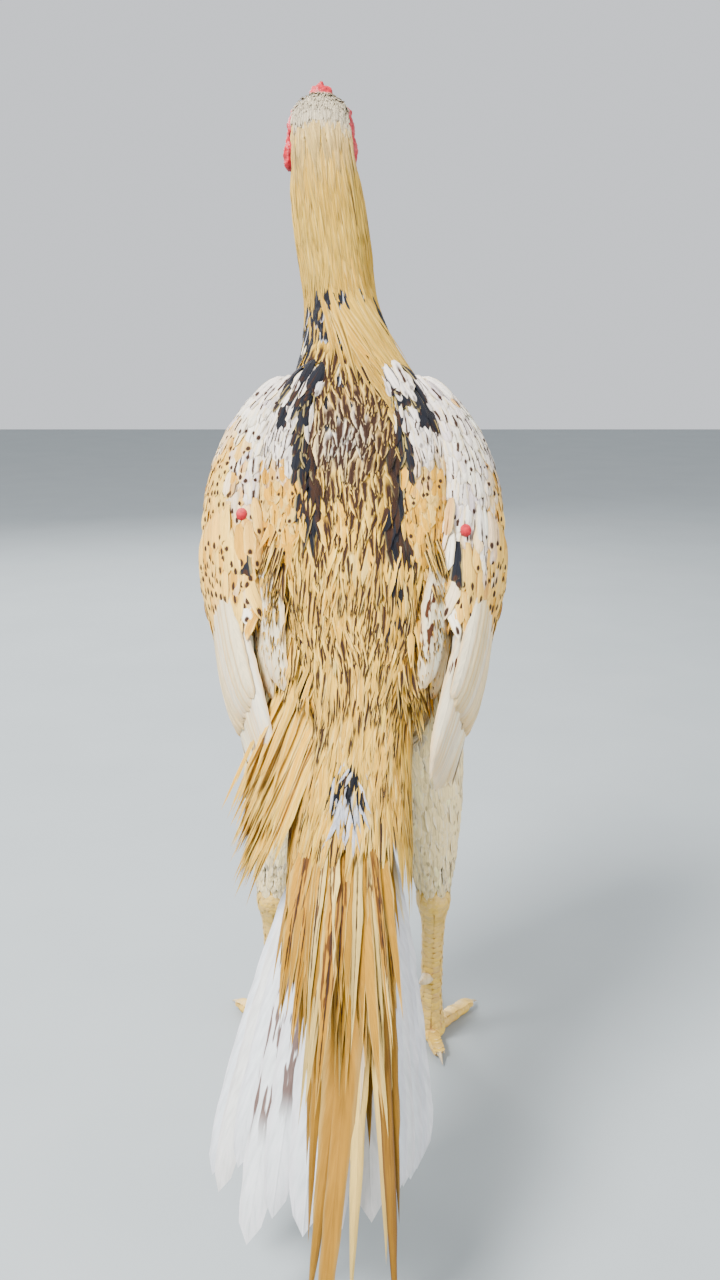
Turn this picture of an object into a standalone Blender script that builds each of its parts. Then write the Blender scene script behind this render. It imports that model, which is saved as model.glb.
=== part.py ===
"""An Aseel game cock at life size, standing upright on both feet with its tail hanging low.

Metres, +Z up. The bird faces -Y and its left side is at +X.
"""
import math
import random

import bmesh
import bpy
import numpy as np
from mathutils import Matrix, Vector
from mathutils.bvhtree import BVHTree

# Joints between nodes
GAP = 0.0003
WELD = 0.00001
SEAM = 0.004
# How far apart points may be and still be merged after a cut: the first that leaves the solid closed
MERGES = (0.00005, 0.00001, 0)
FLAT_ANGLE = math.radians(0.4)

# Where the point between the feet lies in the part's frame
STANCE = Vector((0.0, -0.1547, 0.0))

# Trunk and neck, from tail root to face: back line (y, z), belly line (y, z), half width, side lean
TRUNK = [
    ((0.148, 0.322), (0.118, 0.283), 0.024, 0.000),
    ((0.128, 0.356), (0.072, 0.272), 0.046, 0.000),
    ((0.100, 0.400), (0.012, 0.284), 0.063, 0.000),
    ((0.070, 0.448), (-0.040, 0.320), 0.073, 0.000),
    ((0.044, 0.494), (-0.080, 0.378), 0.076, 0.000),
    ((0.026, 0.534), (-0.096, 0.440), 0.068, 0.000),
    ((0.012, 0.570), (-0.082, 0.508), 0.0405, 0.001),
    ((0.006, 0.608), (-0.060, 0.568), 0.0258, 0.008),
    ((0.005, 0.648), (-0.048, 0.622), 0.0250, 0.014),
    ((0.005, 0.683), (-0.043, 0.667), 0.0252, 0.019),
    ((0.003, 0.712), (-0.038, 0.701), 0.0245, 0.022),
    ((-0.001, 0.730), (-0.042, 0.696), 0.024, 0.023),
    ((-0.012, 0.740), (-0.048, 0.693), 0.0238, 0.023),
    ((-0.030, 0.743), (-0.054, 0.693), 0.0215, 0.023),
    ((-0.046, 0.739), (-0.060, 0.696), 0.0165, 0.023),
    ((-0.057, 0.730), (-0.064, 0.702), 0.0115, 0.023),
]
EGG = 0.10
SADDLE_TOP = 2.3
NECK_BASE = 6
NAPE = 10
FACE = 15
LEAN = 0.023

# Head: places are measured from its middle plane, which leans to the bird's left
EYE = Vector((0.0195, -0.037, 0.7230))
EYE_RADIUS = 0.0072
EYE_DEPTH = 0.55
EYE_AXIS = Vector((1, -0.22, 0.05))
LID_RADIUS = 0.0016
LID_LIFT = 0.0036
EAR = Vector((0.0235, -0.012, 0.7170))
EAR_AXIS = Vector((1, 0.15, 0))
EAR_RADIUS = 0.0042
EAR_RIM = 0.0014
EAR_PIT = (0.0045, 0.0028, 0.0028)
# Centre and radii of each fold and flap
BROW = (0.0165, -0.036, 0.7315), (0.006, 0.013, 0.0045)
CHEEK = (0.0165, -0.030, 0.7090), (0.0065, 0.015, 0.011)
DEWLAP = (0.0, -0.051, 0.6870), (0.004, 0.009, 0.014)
LOBE = (0.0232, -0.016, 0.7005), (0.0036, 0.0070, 0.0120)
WATTLE = (0.0165, -0.046, 0.6880), (0.0036, 0.0085, 0.0130)
NOSTRIL = (0.0082, -0.0665, 0.7195), (0.0022, 0.0026, 0.0012)
# Each half of the beak along its middle: y, z, half width, half height
UPPER_BEAK = [
    (-0.0480, 0.7195, 0.0105, 0.0088),
    (-0.0590, 0.7190, 0.0098, 0.0082),
    (-0.0690, 0.7155, 0.0078, 0.0066),
    (-0.0775, 0.7080, 0.0050, 0.0042),
    (-0.0825, 0.6975, 0.0010, 0.0010),
]
LOWER_BEAK = [
    (-0.0480, 0.7055, 0.0088, 0.0046),
    (-0.0600, 0.7040, 0.0080, 0.0042),
    (-0.0690, 0.7030, 0.0058, 0.0032),
    (-0.0760, 0.7015, 0.0015, 0.0010),
]
# Pea comb: base, width and length of a point, steps across and along, height and its fall in each row
COMB = Vector((0.0, -0.043, 0.7435))
COMB_BASE = (0.0090, 0.0170, 0.0050)
COMB_POINT = (0.0032, 0.0040)
COMB_STEP = (0.0055, 0.0082)
COMB_FRONT = 0.0125
COMB_TALL = ((0.0060, 0.0006), (0.0095, 0.0012), (0.0060, 0.0006))

# Wing and shoulder pads on the trunk: trunk station, angle round it, lift, half chord, half thickness
WING = [
    (5.75, 24, 0.000, 0.012, 0.005),
    (5.45, 22, 0.005, 0.029, 0.0115),
    (4.80, 16, 0.011, 0.043, 0.0165),
    (4.00, 12, 0.016, 0.050, 0.0185),
    (3.20, 10, 0.017, 0.050, 0.0165),
    (2.40, 10, 0.017, 0.041, 0.0105),
    (1.70, 12, 0.018, 0.028, 0.0050),
    (1.10, 16, 0.021, 0.014, 0.0020),
]
SHOULDER = [
    (5.85, 55, -0.002, 0.009, 0.004),
    (5.50, 54, 0.000, 0.019, 0.007),
    (4.80, 51, 0.001, 0.024, 0.009),
    (4.00, 49, 0.001, 0.025, 0.009),
    (3.20, 48, 0.000, 0.021, 0.007),
    (2.60, 48, -0.001, 0.011, 0.004),
]
# The middle of the scapulars round the shoulder pad, a little towards the back
SHOULDER_MIDDLE = 76
TRUNK_WRAP = 0.085
# Feathers on the shoulder: station, angle of the first one, length
SCAPULARS = [(0.7, 48, 0.044), (1.75, 46, 0.048), (2.85, 48, 0.048)]
# Wing coverts: station, how many, length, half width
COVERTS = [(1.1, 3, 0.052, 0.0120), (2.25, 4, 0.058, 0.0115)]
# Where the feathers start and end over the wing's chord: 1 is the edge towards the back, -1 the other
COVERT_CHORD = (0.18, -0.80)
FLIGHT_ROOT_CHORD = (0.14, -0.70)
FLIGHT_BEND_CHORD = (0.76, -0.62)
# Tips of the folded flight feathers, from the innermost to the outermost
WING_TIP_INNER = Vector((0.051, 0.158, 0.300))
WING_TIP_OUTER = Vector((0.076, 0.082, 0.268))
WING_END = 6.4
FLIGHTS = 7
FLIGHT_ROOT = 3.3
FLIGHT_BEND = 5.2
FLIGHT_SUNK = 0.0045
FLIGHT_LIFT = 0.0036
FLIGHT_REACH = 0.012

# Neck hackles in tiers: station, how many each side of the middle, angle of the first one, length
NECK_TIERS = [(9.65, 2, 36, 0.044), (8.85, 4, -26, 0.049), (8.10, 4, -28, 0.053), (7.40, 4, -22, 0.043)]
CAPE_TIER = (6.65, 2, 62, 0.092)
SADDLE_TIERS = [(1.95, 4, 20, 0.110), (0.90, 3, 36, 0.080)]

# The lie of the saddle hackles, from mid back over the tail's root, in the trunk's own terms
SADDLE_LIE = [
    ((0.070, 0.448), (-0.040, 0.320), 0.073, 0.000),
    ((0.100, 0.400), (0.012, 0.284), 0.063, 0.000),
    ((0.128, 0.356), (0.072, 0.272), 0.046, 0.000),
    ((0.157, 0.328), (0.108, 0.268), 0.037, 0.000),
    ((0.187, 0.296), (0.132, 0.236), 0.036, 0.001),
    ((0.214, 0.260), (0.158, 0.200), 0.036, 0.002),
    ((0.238, 0.222), (0.182, 0.164), 0.035, 0.003),
]

# Tail
TAIL_ROOT = Vector((0.0, 0.136, 0.301))
TAIL_PITCH = 41.0
TAIL_DROOP = 14.0
FAN_PAIRS = 7
FAN_STEP = 0.0012
FAN_LENGTH = 0.315
# Fleshy root of the tail: distance, half width, half depth
TAIL_CORE = [(0.018, 0.021, 0.020), (0.036, 0.015, 0.014), (0.050, 0.004, 0.004)]
# Degrees between neighbours in the fan on the left and on the right
FAN_SPREAD = {1: 4.8, -1: 2.1}
# Yaw in degrees and length
SICKLES = [(4, 0.385), (-5, 0.365), (9, 0.300), (-9, 0.290)]
TAIL_COVERTS = [(0, 0.200), (8, 0.185), (-8, 0.175), (15, 0.160), (-15, 0.155)]
# Half widths of the feathers
HACKLE_WIDTH = 0.0090
CAPE_WIDTH = 0.0095
SADDLE_WIDTH = 0.0096
SCAPULAR_WIDTH = 0.0078
FLIGHT_WIDTH = 0.0092
FAN_WIDTH = 0.0150
SICKLE_WIDTH = 0.0115
TAIL_COVERT_WIDTH = 0.0125

# Left leg, from inside the trunk to the hock and on to the sole: centre, half width, half depth
THIGH = [
    ((0.044, -0.010, 0.350), 0.026, 0.040),
    ((0.047, -0.004, 0.310), 0.032, 0.048),
    ((0.053, 0.006, 0.265), 0.030, 0.042),
    ((0.0585, 0.017, 0.220), 0.0235, 0.030),
    ((0.0615, 0.026, 0.180), 0.0165, 0.0195),
    ((0.0625, 0.030, 0.158), 0.0125, 0.0135),
]
SHANK = [
    ((0.0625, 0.030, 0.1577), 0.0125, 0.0135),
    ((0.0630, 0.030, 0.142), 0.0128, 0.0142),
    ((0.0635, 0.024, 0.122), 0.0092, 0.0104),
    ((0.0638, 0.014, 0.085), 0.0080, 0.0092),
    ((0.0640, 0.003, 0.045), 0.0084, 0.0094),
    ((0.0640, -0.003, 0.022), 0.0105, 0.0115),
    ((0.0640, -0.005, 0.008), 0.0130, 0.0130),
    ((0.0640, -0.005, -0.004), 0.0100, 0.0100),
]
SOLE = Vector((0.0640, -0.005, 0.0))
# Toes: heading in degrees outwards from forwards, length, radius at the root and at the claw, joints
TOES = {
    "middle_toe": (3.0, 0.070, 0.0072, 0.0048, 4),
    "inner_toe": (-34.0, 0.052, 0.0068, 0.0048, 3),
    "outer_toe": (40.0, 0.054, 0.0066, 0.0046, 4),
    "back_toe": (170.0, 0.032, 0.0062, 0.0044, 2),
}
# Scutes: first and last station, how many, how far their lower edges stand out
SHANK_SCUTES = (1.4, 5.4, 9, 0.0009)
TOE_SCUTE = 0.0006
CLAW_LENGTH = 0.015
SPUR_STATION = 3.45
SPUR_LENGTH = 0.024
SPUR_OFFSET = Vector((-0.003, 0.005, 0))
SPUR_AXIS = Vector((-0.35, 0.93, 0.10))
SPUR_SHAPE = [(0.0, 0.0056), (0.35, 0.0042), (0.7, 0.0026), (1.0, 0.0006)]



class Tube:
    """A limb or trunk as a run of oval sections: each has a centre and side and top half axes."""

    def __init__(self, stations, egg=0.0, wrap=0.0):
        self.table = np.array([[*centre, *side, *top] for centre, side, top in stations], float)
        self.egg = egg
        self.wrap = wrap
        self.last = len(self.table) - 1

    def section(self, s):
        """Centre, side and top half axes, s stations from the start, on a smooth curve through them."""
        i = min(max(int(math.floor(s)), 0), self.last - 1)
        t = s - i
        b, c = self.table[i], self.table[i + 1]
        a = self.table[i - 1] if i > 0 else 2 * b - c
        d = self.table[i + 2] if i + 2 <= self.last else 2 * c - b
        row = 0.5 * (2 * b + (c - a) * t + (2 * a - 5 * b + 4 * c - d) * t * t
                     + (3 * b - a - 3 * c + d) * t * t * t)
        return Vector(row[0:3]), Vector(row[3:6]), Vector(row[6:9])

    def skin(self, s, angle):
        centre, side, top = self.section(s)
        across = math.cos(angle) * (1 + self.egg * math.sin(angle))
        sag = self.wrap * side.length_squared * across * across / 2
        return centre + side * across + top * math.sin(angle) - top.normalized() * sag

    def normal(self, s, angle):
        step = 0.01
        along = self.skin(s + step, angle) - self.skin(s - step, angle)
        around = self.skin(s, angle + step) - self.skin(s, angle - step)
        out = around.cross(along).normalized()
        return out if out.dot(self.skin(s, angle) - self.section(s)[0]) > 0 else -out

    def point(self, s, angle, lift=0.0):
        """A point on the skin, raised by lift. Angle 0 is the side axis and a quarter turn is the top."""
        return self.skin(s, angle) + self.normal(s, angle) * lift



def trunk_station(back, belly, half_width, lean):
    back, belly = Vector((lean, *back)), Vector((lean, *belly))
    return (back + belly) / 2, Vector((half_width, 0, 0)), (back - belly) / 2


def leg_station(centre, half_width, half_depth):
    return centre, Vector((half_width, 0, 0)), Vector((0, half_depth, 0))



BODY = Tube([trunk_station(*row) for row in TRUNK], EGG)


def pad_station(s, degrees, lift, half_chord, half_thickness):
    """A section on the trunk's left side, its side axis towards the back and its top axis outwards."""
    angle = math.radians(degrees)
    chord = (BODY.skin(s, angle + 0.01) - BODY.skin(s, angle - 0.01)).normalized()
    return BODY.point(s, angle, lift), chord * half_chord, BODY.normal(s, angle) * half_thickness


WING_FORM = Tube([pad_station(*row) for row in WING], wrap=1 / TRUNK_WRAP)
SHOULDER_FORM = Tube([pad_station(*row) for row in SHOULDER], wrap=1 / TRUNK_WRAP)
THIGH_FORM = Tube([leg_station(*row) for row in THIGH])
SHANK_FORM = Tube([leg_station(*row) for row in SHANK])
SADDLE_FORM = Tube([trunk_station(*row) for row in SADDLE_LIE], EGG)

# Feathers lie like shingles: how far each leans, and how far the one on the middle line is raised
SHINGLE = math.radians(6)
MIDDLE_RISE = 0.0012

# Thickness of small and of large vanes
SMALL_VANE = 0.0006
LARGE_VANE = 0.0008

# The share of a vane's length, and its width there
BROAD_VANE = [(0, 0.35), (0.3, 0.85), (0.65, 1.0), (0.95, 0.72), (1, 0)]
HACKLE_VANE = [(0, 0.45), (0.3, 1.0), (0.65, 0.88), (1, 0)]
COVERT_VANE = [(0, 0.5), (0.4, 0.95), (0.87, 0.85), (1, 0)]
SICKLE_VANE = [(0, 0.4), (0.2, 0.85), (0.45, 1.0), (0.75, 0.75), (1, 0)]

MATERIALS = {
    "straw_feather": ((0.78, 0.62, 0.33), 0.75),
    "spotted_feather": ((0.74, 0.58, 0.34), 0.78),
    "white_feather": ((0.86, 0.84, 0.78), 0.7),
    "golden_feather": ((0.70, 0.47, 0.18), 0.7),
    "bare_skin": ((0.66, 0.06, 0.08), 0.55),
    "shank_skin": ((0.80, 0.66, 0.36), 0.5),
    "horn": ((0.78, 0.66, 0.42), 0.35),
    "eye": ((0.85, 0.80, 0.66), 0.08),
}


def clear_scene():
    for obj in list(bpy.data.objects):
        bpy.data.objects.remove(obj)


def new_collection(name):
    group = bpy.data.collections.new(name)
    bpy.context.scene.collection.children.link(group)
    return group


def make_material(name):
    colour, roughness = MATERIALS[name]
    made = bpy.data.materials.new(name)
    made.use_nodes = True
    shader = made.node_tree.nodes["Principled BSDF"]
    shader.inputs["Base Color"].default_value = (*colour, 1.0)
    shader.inputs["Roughness"].default_value = roughness
    shader.inputs["Metallic"].default_value = 0.0
    return made


def link_mesh(name, bm):
    """A new object in the bird's collection that takes the bmesh over."""
    mesh = bpy.data.meshes.new(name)
    bm.to_mesh(mesh)
    bm.free()
    obj = bpy.data.objects.new(name, mesh)
    bpy.data.collections["aseel_cock"].objects.link(obj)
    return obj


def finish_object(obj, material):
    obj.data.materials.clear()
    obj.data.materials.append(bpy.data.materials[material])
    obj.data.shade_smooth()
    obj.data.set_sharp_from_angle(angle=math.radians(50))
    return obj


def heal(mesh, merge):
    """Merges the slivers that a cut leaves, splits the faces into triangles and says if all is closed."""
    bm = bmesh.new()
    bm.from_mesh(mesh)
    if merge:
        bmesh.ops.remove_doubles(bm, verts=bm.verts, dist=merge)
        bmesh.ops.dissolve_degenerate(bm, dist=merge, edges=bm.edges)
        bmesh.ops.dissolve_limit(bm, angle_limit=FLAT_ANGLE, verts=bm.verts, edges=bm.edges)
    bmesh.ops.triangulate(bm, faces=bm.faces)
    closed = bool(bm.faces) and all(e.is_manifold for e in bm.edges)
    if closed:
        bm.to_mesh(mesh)
    bm.free()
    return closed


def apply_boolean(obj, operation, other):
    """Joins or cuts an object with another one, or with all in a collection, and applies it."""
    step = obj.modifiers.new(operation.lower(), "BOOLEAN")
    step.operation = operation
    if isinstance(other, bpy.types.Collection):
        step.operand_type = "COLLECTION"
        step.collection = other
    else:
        step.object = other
    for solver, merge in ((solver, merge) for solver in ("EXACT", "MANIFOLD") for merge in MERGES):
        step.solver = solver
        graph = bpy.context.evaluated_depsgraph_get()
        made = bpy.data.meshes.new_from_object(obj.evaluated_get(graph))
        if heal(made, merge):
            break
    obj.modifiers.clear()
    obj.data = made
    return keep_largest(obj)


def keep_largest(obj):
    """Leaves only the closed surface with the largest area."""
    bm = bmesh.new()
    bm.from_mesh(obj.data)
    left = set(bm.faces)
    islands = []
    while left:
        island, edge = [], [left.pop()]
        while edge:
            face = edge.pop()
            island.append(face)
            for near in {f for e in face.edges for f in e.link_faces} & left:
                left.discard(near)
                edge.append(near)
        islands.append(island)
    islands.sort(key=lambda faces: sum(f.calc_area() for f in faces))
    scraps = [f for island in islands[:-1] for f in island]
    bmesh.ops.delete(bm, geom=scraps, context="FACES")
    bm.to_mesh(obj.data)
    bm.free()
    return obj


def fuse(core, pieces):
    """Joins the pieces to the core as one closed solid."""
    group = new_collection(core.name + "_pieces")
    for piece in pieces:
        bpy.data.collections["aseel_cock"].objects.unlink(piece)
        group.objects.link(piece)
    apply_boolean(core, "UNION", group)
    for piece in pieces:
        bpy.data.objects.remove(piece)
    bpy.data.collections.remove(group)
    return core


def as_cutter(obj):
    """Turns an object into one that only cuts."""
    bpy.data.collections["aseel_cock"].objects.unlink(obj)
    bpy.data.collections["cutters"].objects.link(obj)
    obj.hide_render = True
    obj.display_type = "WIRE"
    return obj


def room_for(obj):
    """A cutter that clears an object by the gap."""
    bm = bmesh.new()
    bm.from_mesh(obj.data)
    bm.normal_update()
    for v in bm.verts:
        v.co += v.normal * GAP
    return as_cutter(link_mesh(obj.name + "_room", bm))


def carve(obj, *cutters):
    """Cuts the cutters out of an object, which keeps its largest piece."""
    for cutter in cutters:
        apply_boolean(obj, "DIFFERENCE", cutter)
    return obj


def tree_of(obj):
    bm = bmesh.new()
    bm.from_mesh(obj.data)
    tree = BVHTree.FromBMesh(bm)
    bm.free()
    return tree


def trim(pieces, *cutters):
    """Cuts each cutter out of the pieces that it crosses."""
    for cutter in cutters:
        reach = tree_of(cutter)
        for piece in pieces:
            if reach.overlap(tree_of(piece)):
                carve(piece, cutter)
    return pieces


def rows_between(start, end, count):
    return [start + (end - start) * k / count for k in range(count + 1)]


def closed_loft(name, place, rows, sides):
    """A closed skin through place(row, angle), joined all round and capped at both ends."""
    bm = bmesh.new()
    bmesh.ops.create_grid(bm, x_segments=sides, y_segments=len(rows) - 1, size=0.5)
    for v in bm.verts:
        angle = (v.co.x + 0.5) * math.tau
        row = rows[round((v.co.y + 0.5) * (len(rows) - 1))]
        v.co = place(row, angle)
    bmesh.ops.remove_doubles(bm, verts=bm.verts, dist=WELD)
    bmesh.ops.holes_fill(bm, edges=[e for e in bm.edges if e.is_boundary], sides=0)
    bmesh.ops.recalc_face_normals(bm, faces=bm.faces)
    return link_mesh(name, bm)


def ellipsoid(name, centre, radii, segments=10, rings=6, turn=Matrix.Identity(4)):
    bm = bmesh.new()
    shape = Matrix.Translation(centre) @ turn @ Matrix.Diagonal((*radii, 1.0))
    bmesh.ops.create_uvsphere(bm, u_segments=segments, v_segments=rings, radius=1.0, matrix=shape)
    return link_mesh(name, bm)


def ring(name, centre, axis, radius, thickness, segments=12, sides=5):
    """A torus about an axis, for a lid or the rim of an ear."""
    bm = bmesh.new()
    turn = axis.to_track_quat("Z", "Y").to_matrix().to_4x4()
    start = Matrix.Translation((radius, 0, 0)) @ Matrix.Rotation(math.pi / 2, 4, "X")
    rim = bmesh.ops.create_circle(bm, segments=sides, radius=thickness, matrix=start)
    edges = list({e for v in rim["verts"] for e in v.link_edges})
    bmesh.ops.spin(bm, geom=rim["verts"] + edges, cent=(0, 0, 0), axis=(0, 0, 1),
                   angle=math.tau, steps=segments, use_merge=True)
    bmesh.ops.remove_doubles(bm, verts=bm.verts, dist=WELD)
    bmesh.ops.transform(bm, matrix=Matrix.Translation(centre) @ turn, verts=bm.verts)
    bmesh.ops.recalc_face_normals(bm, faces=bm.faces)
    return link_mesh(name, bm)


def vane(name, points, normals, shape, half_width, thickness, tilt=0.0):
    """A feather as a thin closed sheet along the points, split into like triangles on both faces."""
    steps = len(points) - 1
    bm = bmesh.new()
    bmesh.ops.create_grid(bm, x_segments=1, y_segments=steps, size=0.5)
    for v in bm.verts:
        k = round((v.co.y + 0.5) * steps)
        u = v.co.x * 2
        ahead = points[min(k + 1, steps)] - points[max(k - 1, 0)]
        side = normals[k].cross(ahead).normalized()
        side = (side * math.cos(tilt) + normals[k] * math.sin(tilt)).normalized()
        reach = half_width * shape[k][1]
        v.co = points[k] + side * (reach * u)
    bmesh.ops.remove_doubles(bm, verts=bm.verts, dist=WELD)
    bmesh.ops.triangulate(bm, faces=bm.faces, quad_method="FIXED")
    bmesh.ops.recalc_face_normals(bm, faces=bm.faces)
    bmesh.ops.solidify(bm, geom=bm.faces[:], thickness=thickness)
    bmesh.ops.recalc_face_normals(bm, faces=bm.faces)
    return link_mesh(name, bm)


def feather_lift(t, root, rise, tip):
    """Height over the skin at a share t of the length: from the sunk root quickly up, then slowly."""
    if t < 0.25:
        return root + (rise - root) * t / 0.25
    return rise + (tip - rise) * (t - 0.25) / 0.75


def lying_vane(name, form, s, angle, length, shape, half_width, heading, lifts,
               drift=0.0, tilt=0.0):
    """A feather that lies along a form from station s, towards more stations if heading is 1.

    A tilt raises the edge at the larger angle."""
    across = form.skin(s, angle + 0.01) - form.skin(s, angle)
    points, normals = [], []
    reached = 0.0
    for share, _ in shape:
        step = (share - reached) * length
        reached = share
        pace = (form.skin(s + heading * 0.01, angle) - form.skin(s, angle)).length / 0.01
        s += heading * step / pace
        turn = angle + drift * share
        points.append(form.point(s, turn, feather_lift(share, *lifts)))
        normals.append(form.normal(s, turn))
    hand = 1 if normals[0].cross(points[-1] - points[0]).dot(across) > 0 else -1
    return vane(name, points, normals, shape, half_width, SMALL_VANE, tilt * hand)


def hanging_vane(name, root, yaw, pitch, droop, length, shape, half_width,
                 roll=0.0, sweep=0.0):
    """A tail feather that leaves its root at a pitch below level and droops on its way, in degrees."""
    points, normals = [], []
    place = root.copy()
    reached = 0.0
    for share, _ in shape:
        middle = (share + reached) / 2
        dip = math.radians(pitch + droop * middle)
        swing = math.radians(yaw + sweep * middle)
        ahead = Vector((math.sin(swing) * math.cos(dip), math.cos(swing) * math.cos(dip), -math.sin(dip)))
        place = place + ahead * ((share - reached) * length)
        reached = share
        level = ahead.cross(Vector((0, 0, 1))).normalized()
        upward = level.cross(ahead).normalized()
        lean = math.radians(roll)
        points.append(place.copy())
        normals.append((upward * math.cos(lean) + level * math.sin(lean)).normalized())
    return vane(name, points, normals, shape, half_width, LARGE_VANE)


def mirrored(obj, name):
    """The same piece on the bird's right."""
    bm = bmesh.new()
    bm.from_mesh(obj.data)
    bmesh.ops.scale(bm, vec=(-1, 1, 1), verts=bm.verts)
    bmesh.ops.reverse_faces(bm, faces=bm.faces)
    return link_mesh(name, bm)


def build_torso():
    return closed_loft("torso", BODY.skin, rows_between(SADDLE_TOP + SEAM, NECK_BASE - SEAM, 10), 24)


def build_saddle():
    """The rump without its hackles."""
    return closed_loft("saddle", BODY.skin, rows_between(SEAM, SADDLE_TOP - SEAM, 5), 18)


def tier(name, form, sizes, shape, half_width, heading, lifts, gather=0.0, middle=90):
    """Feathers side by side over a form's top, shingled away from one on its middle line.

    The first lies at the edge angle, and gather draws the tips towards the middle line."""
    s, pairs, edge, length = sizes
    made = []
    for k in range(-pairs, pairs + 1):
        degrees = middle + (middle - edge) * k / pairs + (random.uniform(-1.5, 1.5) if k else 0)
        side = (k > 0) - (k < 0)
        rise = 0 if k else MIDDLE_RISE
        long = length * (1 - 0.14 * abs(k) / pairs) * random.uniform(0.93, 1.07)
        drift = math.radians((middle - degrees) * gather)
        made.append(lying_vane(name, form, s, math.radians(degrees), long, shape, half_width, heading,
                               (lifts[0], lifts[1] + rise, lifts[2] + rise), drift, tilt=side * SHINGLE))
    return made


def saddle_hackles():
    """Long pointed feathers in tiers that flow from the rump over the tail's root."""
    made = []
    for sizes in SADDLE_TIERS:
        made += tier("saddle_hackle", SADDLE_FORM, sizes, HACKLE_VANE, SADDLE_WIDTH, 1,
                     (-0.0025, 0.0020, 0.0055), gather=0.08)
    return made


def build_neck():
    """The neck without its hackles."""
    return closed_loft("neck", BODY.skin, rows_between(NECK_BASE + SEAM, NAPE - SEAM, 8), 18)


def neck_hackles():
    """Narrow pointed feathers in tiers down the neck, the last of them a cape over the withers."""
    made = []
    for sizes in NECK_TIERS:
        made += tier("neck_hackle", BODY, sizes, HACKLE_VANE, HACKLE_WIDTH, -1,
                     (-0.0022, 0.0018, 0.0050))
    made += tier("cape_hackle", BODY, CAPE_TIER, HACKLE_VANE, CAPE_WIDTH, -1,
                 (-0.0022, 0.0022, 0.0055), gather=0.5)
    return made


def face_point(side, place):
    x, y, z = place
    return Vector((LEAN + side * x, y, z))


def face_fold(name, side, sizes, segments=8, rings=5):
    """A rounded fold or flap of the face, from its centre and radii."""
    centre, radii = sizes
    return ellipsoid(name, face_point(side, centre), radii, segments, rings)


def eye_centre(side):
    return face_point(side, (EYE.x - EYE_RADIUS * EYE_DEPTH, EYE.y, EYE.z))


def outwards(axis, side):
    return Vector((axis.x * side, axis.y, axis.z)).normalized()


def build_head(neck):
    """The skull under its red skin, with brows, cheeks, lids and the rims of the ears."""
    skull = closed_loft("head", BODY.skin, rows_between(NAPE + SEAM, FACE, 9), 16)
    folds = [face_fold("dewlap", 1, DEWLAP, 10, 6)]
    for side in (1, -1):
        folds += [face_fold("brow", side, BROW), face_fold("cheek", side, CHEEK)]
    fuse(skull, folds)
    carve(skull, room_for(neck))
    for side in (1, -1):
        out = outwards(EYE_AXIS, side)
        lid = ring("lid", eye_centre(side) + out * LID_LIFT, out, EYE_RADIUS * 0.92, LID_RADIUS)
        rim = ring("ear_rim", face_point(side, EAR), outwards(EAR_AXIS, side), EAR_RADIUS, EAR_RIM, 10)
        fuse(skull, [lid, rim])
        socket = ellipsoid("socket", eye_centre(side), (EYE_RADIUS + GAP,) * 3, 12, 7)
        pit = ellipsoid("ear_pit", face_point(side, EAR) + Vector((side * 0.0015, 0, 0)), EAR_PIT, 8, 5)
        carve(skull, as_cutter(socket), as_cutter(pit))
    return skull


def build_eye(side, name):
    return ellipsoid(name, eye_centre(side), (EYE_RADIUS,) * 3, 12, 7)


def beak_form(line):
    """A beak half that follows its middle line in the head's plane."""
    stations = []
    for k, (y, z, half_width, half_height) in enumerate(line):
        before, after = line[max(k - 1, 0)], line[min(k + 1, len(line) - 1)]
        ahead = Vector((0, after[0] - before[0], after[1] - before[1])).normalized()
        up = Vector((1, 0, 0)).cross(ahead).normalized()
        up = up if up.z > 0 else -up
        stations.append((Vector((LEAN, y, z)), Vector((half_width, 0, 0)), up * half_height))
    return Tube(stations)


def build_beak(head):
    """The two halves of the beak, with the nostrils and the line of the mouth between them."""
    upper, lower = beak_form(UPPER_BEAK), beak_form(LOWER_BEAK)
    top = closed_loft("beak_upper", upper.skin, rows_between(0, upper.last, 8), 10)
    under = closed_loft("beak_lower", lower.skin, rows_between(0, lower.last, 5), 8)
    skull = room_for(head)
    nostrils = [as_cutter(face_fold("nostril", side, NOSTRIL, 8, 6)) for side in (1, -1)]
    carve(top, skull, *nostrils)
    carve(under, skull, room_for(top))
    return top, under


def build_comb(head):
    """A pea comb: three rows of low points on one fleshy base, the middle row the tallest."""
    middle = COMB + Vector((LEAN, 0, 0))
    base = ellipsoid("comb", middle, COMB_BASE, 12, 6)
    points = []
    for row, (tallest, fall) in zip((-1, 0, 1), COMB_TALL):
        for k in range(4):
            tall = tallest - fall * abs(k - 2)
            spot = middle + Vector((row * COMB_STEP[0], COMB_FRONT - COMB_STEP[1] * k, tall * 0.35))
            points.append(ellipsoid("comb_point", spot, (*COMB_POINT, tall), 6, 4))
    fuse(base, points)
    return carve(base, room_for(head))


def build_face_flaps(head, neck):
    """The small red ear lobes and wattles."""
    made = []
    for side, letter in ((1, "L"), (-1, "R")):
        lobe = face_fold("earlobe_" + letter, side, LOBE, 10, 6)
        flap = face_fold("wattle_" + letter, side, WATTLE, 10, 6)
        carve(lobe, room_for(head), room_for(neck))
        carve(flap, room_for(head), room_for(neck))
        made += [lobe, flap]
    return made


def build_shoulder(torso, saddle, neck):
    """The shoulder without its scapulars."""
    pad = closed_loft("shoulder_L", SHOULDER_FORM.skin, rows_between(0, 5, 8), 12)
    return carve(pad, room_for(torso), room_for(saddle), room_for(neck))


def shoulder_feathers():
    """Scapulars in tiers down the shoulder."""
    made = []
    for s, edge, length in SCAPULARS:
        made += tier("scapular", SHOULDER_FORM, (s, 1, edge, length), COVERT_VANE, SCAPULAR_WIDTH, 1,
                     (-0.0022, 0.0016, 0.0046), middle=SHOULDER_MIDDLE)
    return made


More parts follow.
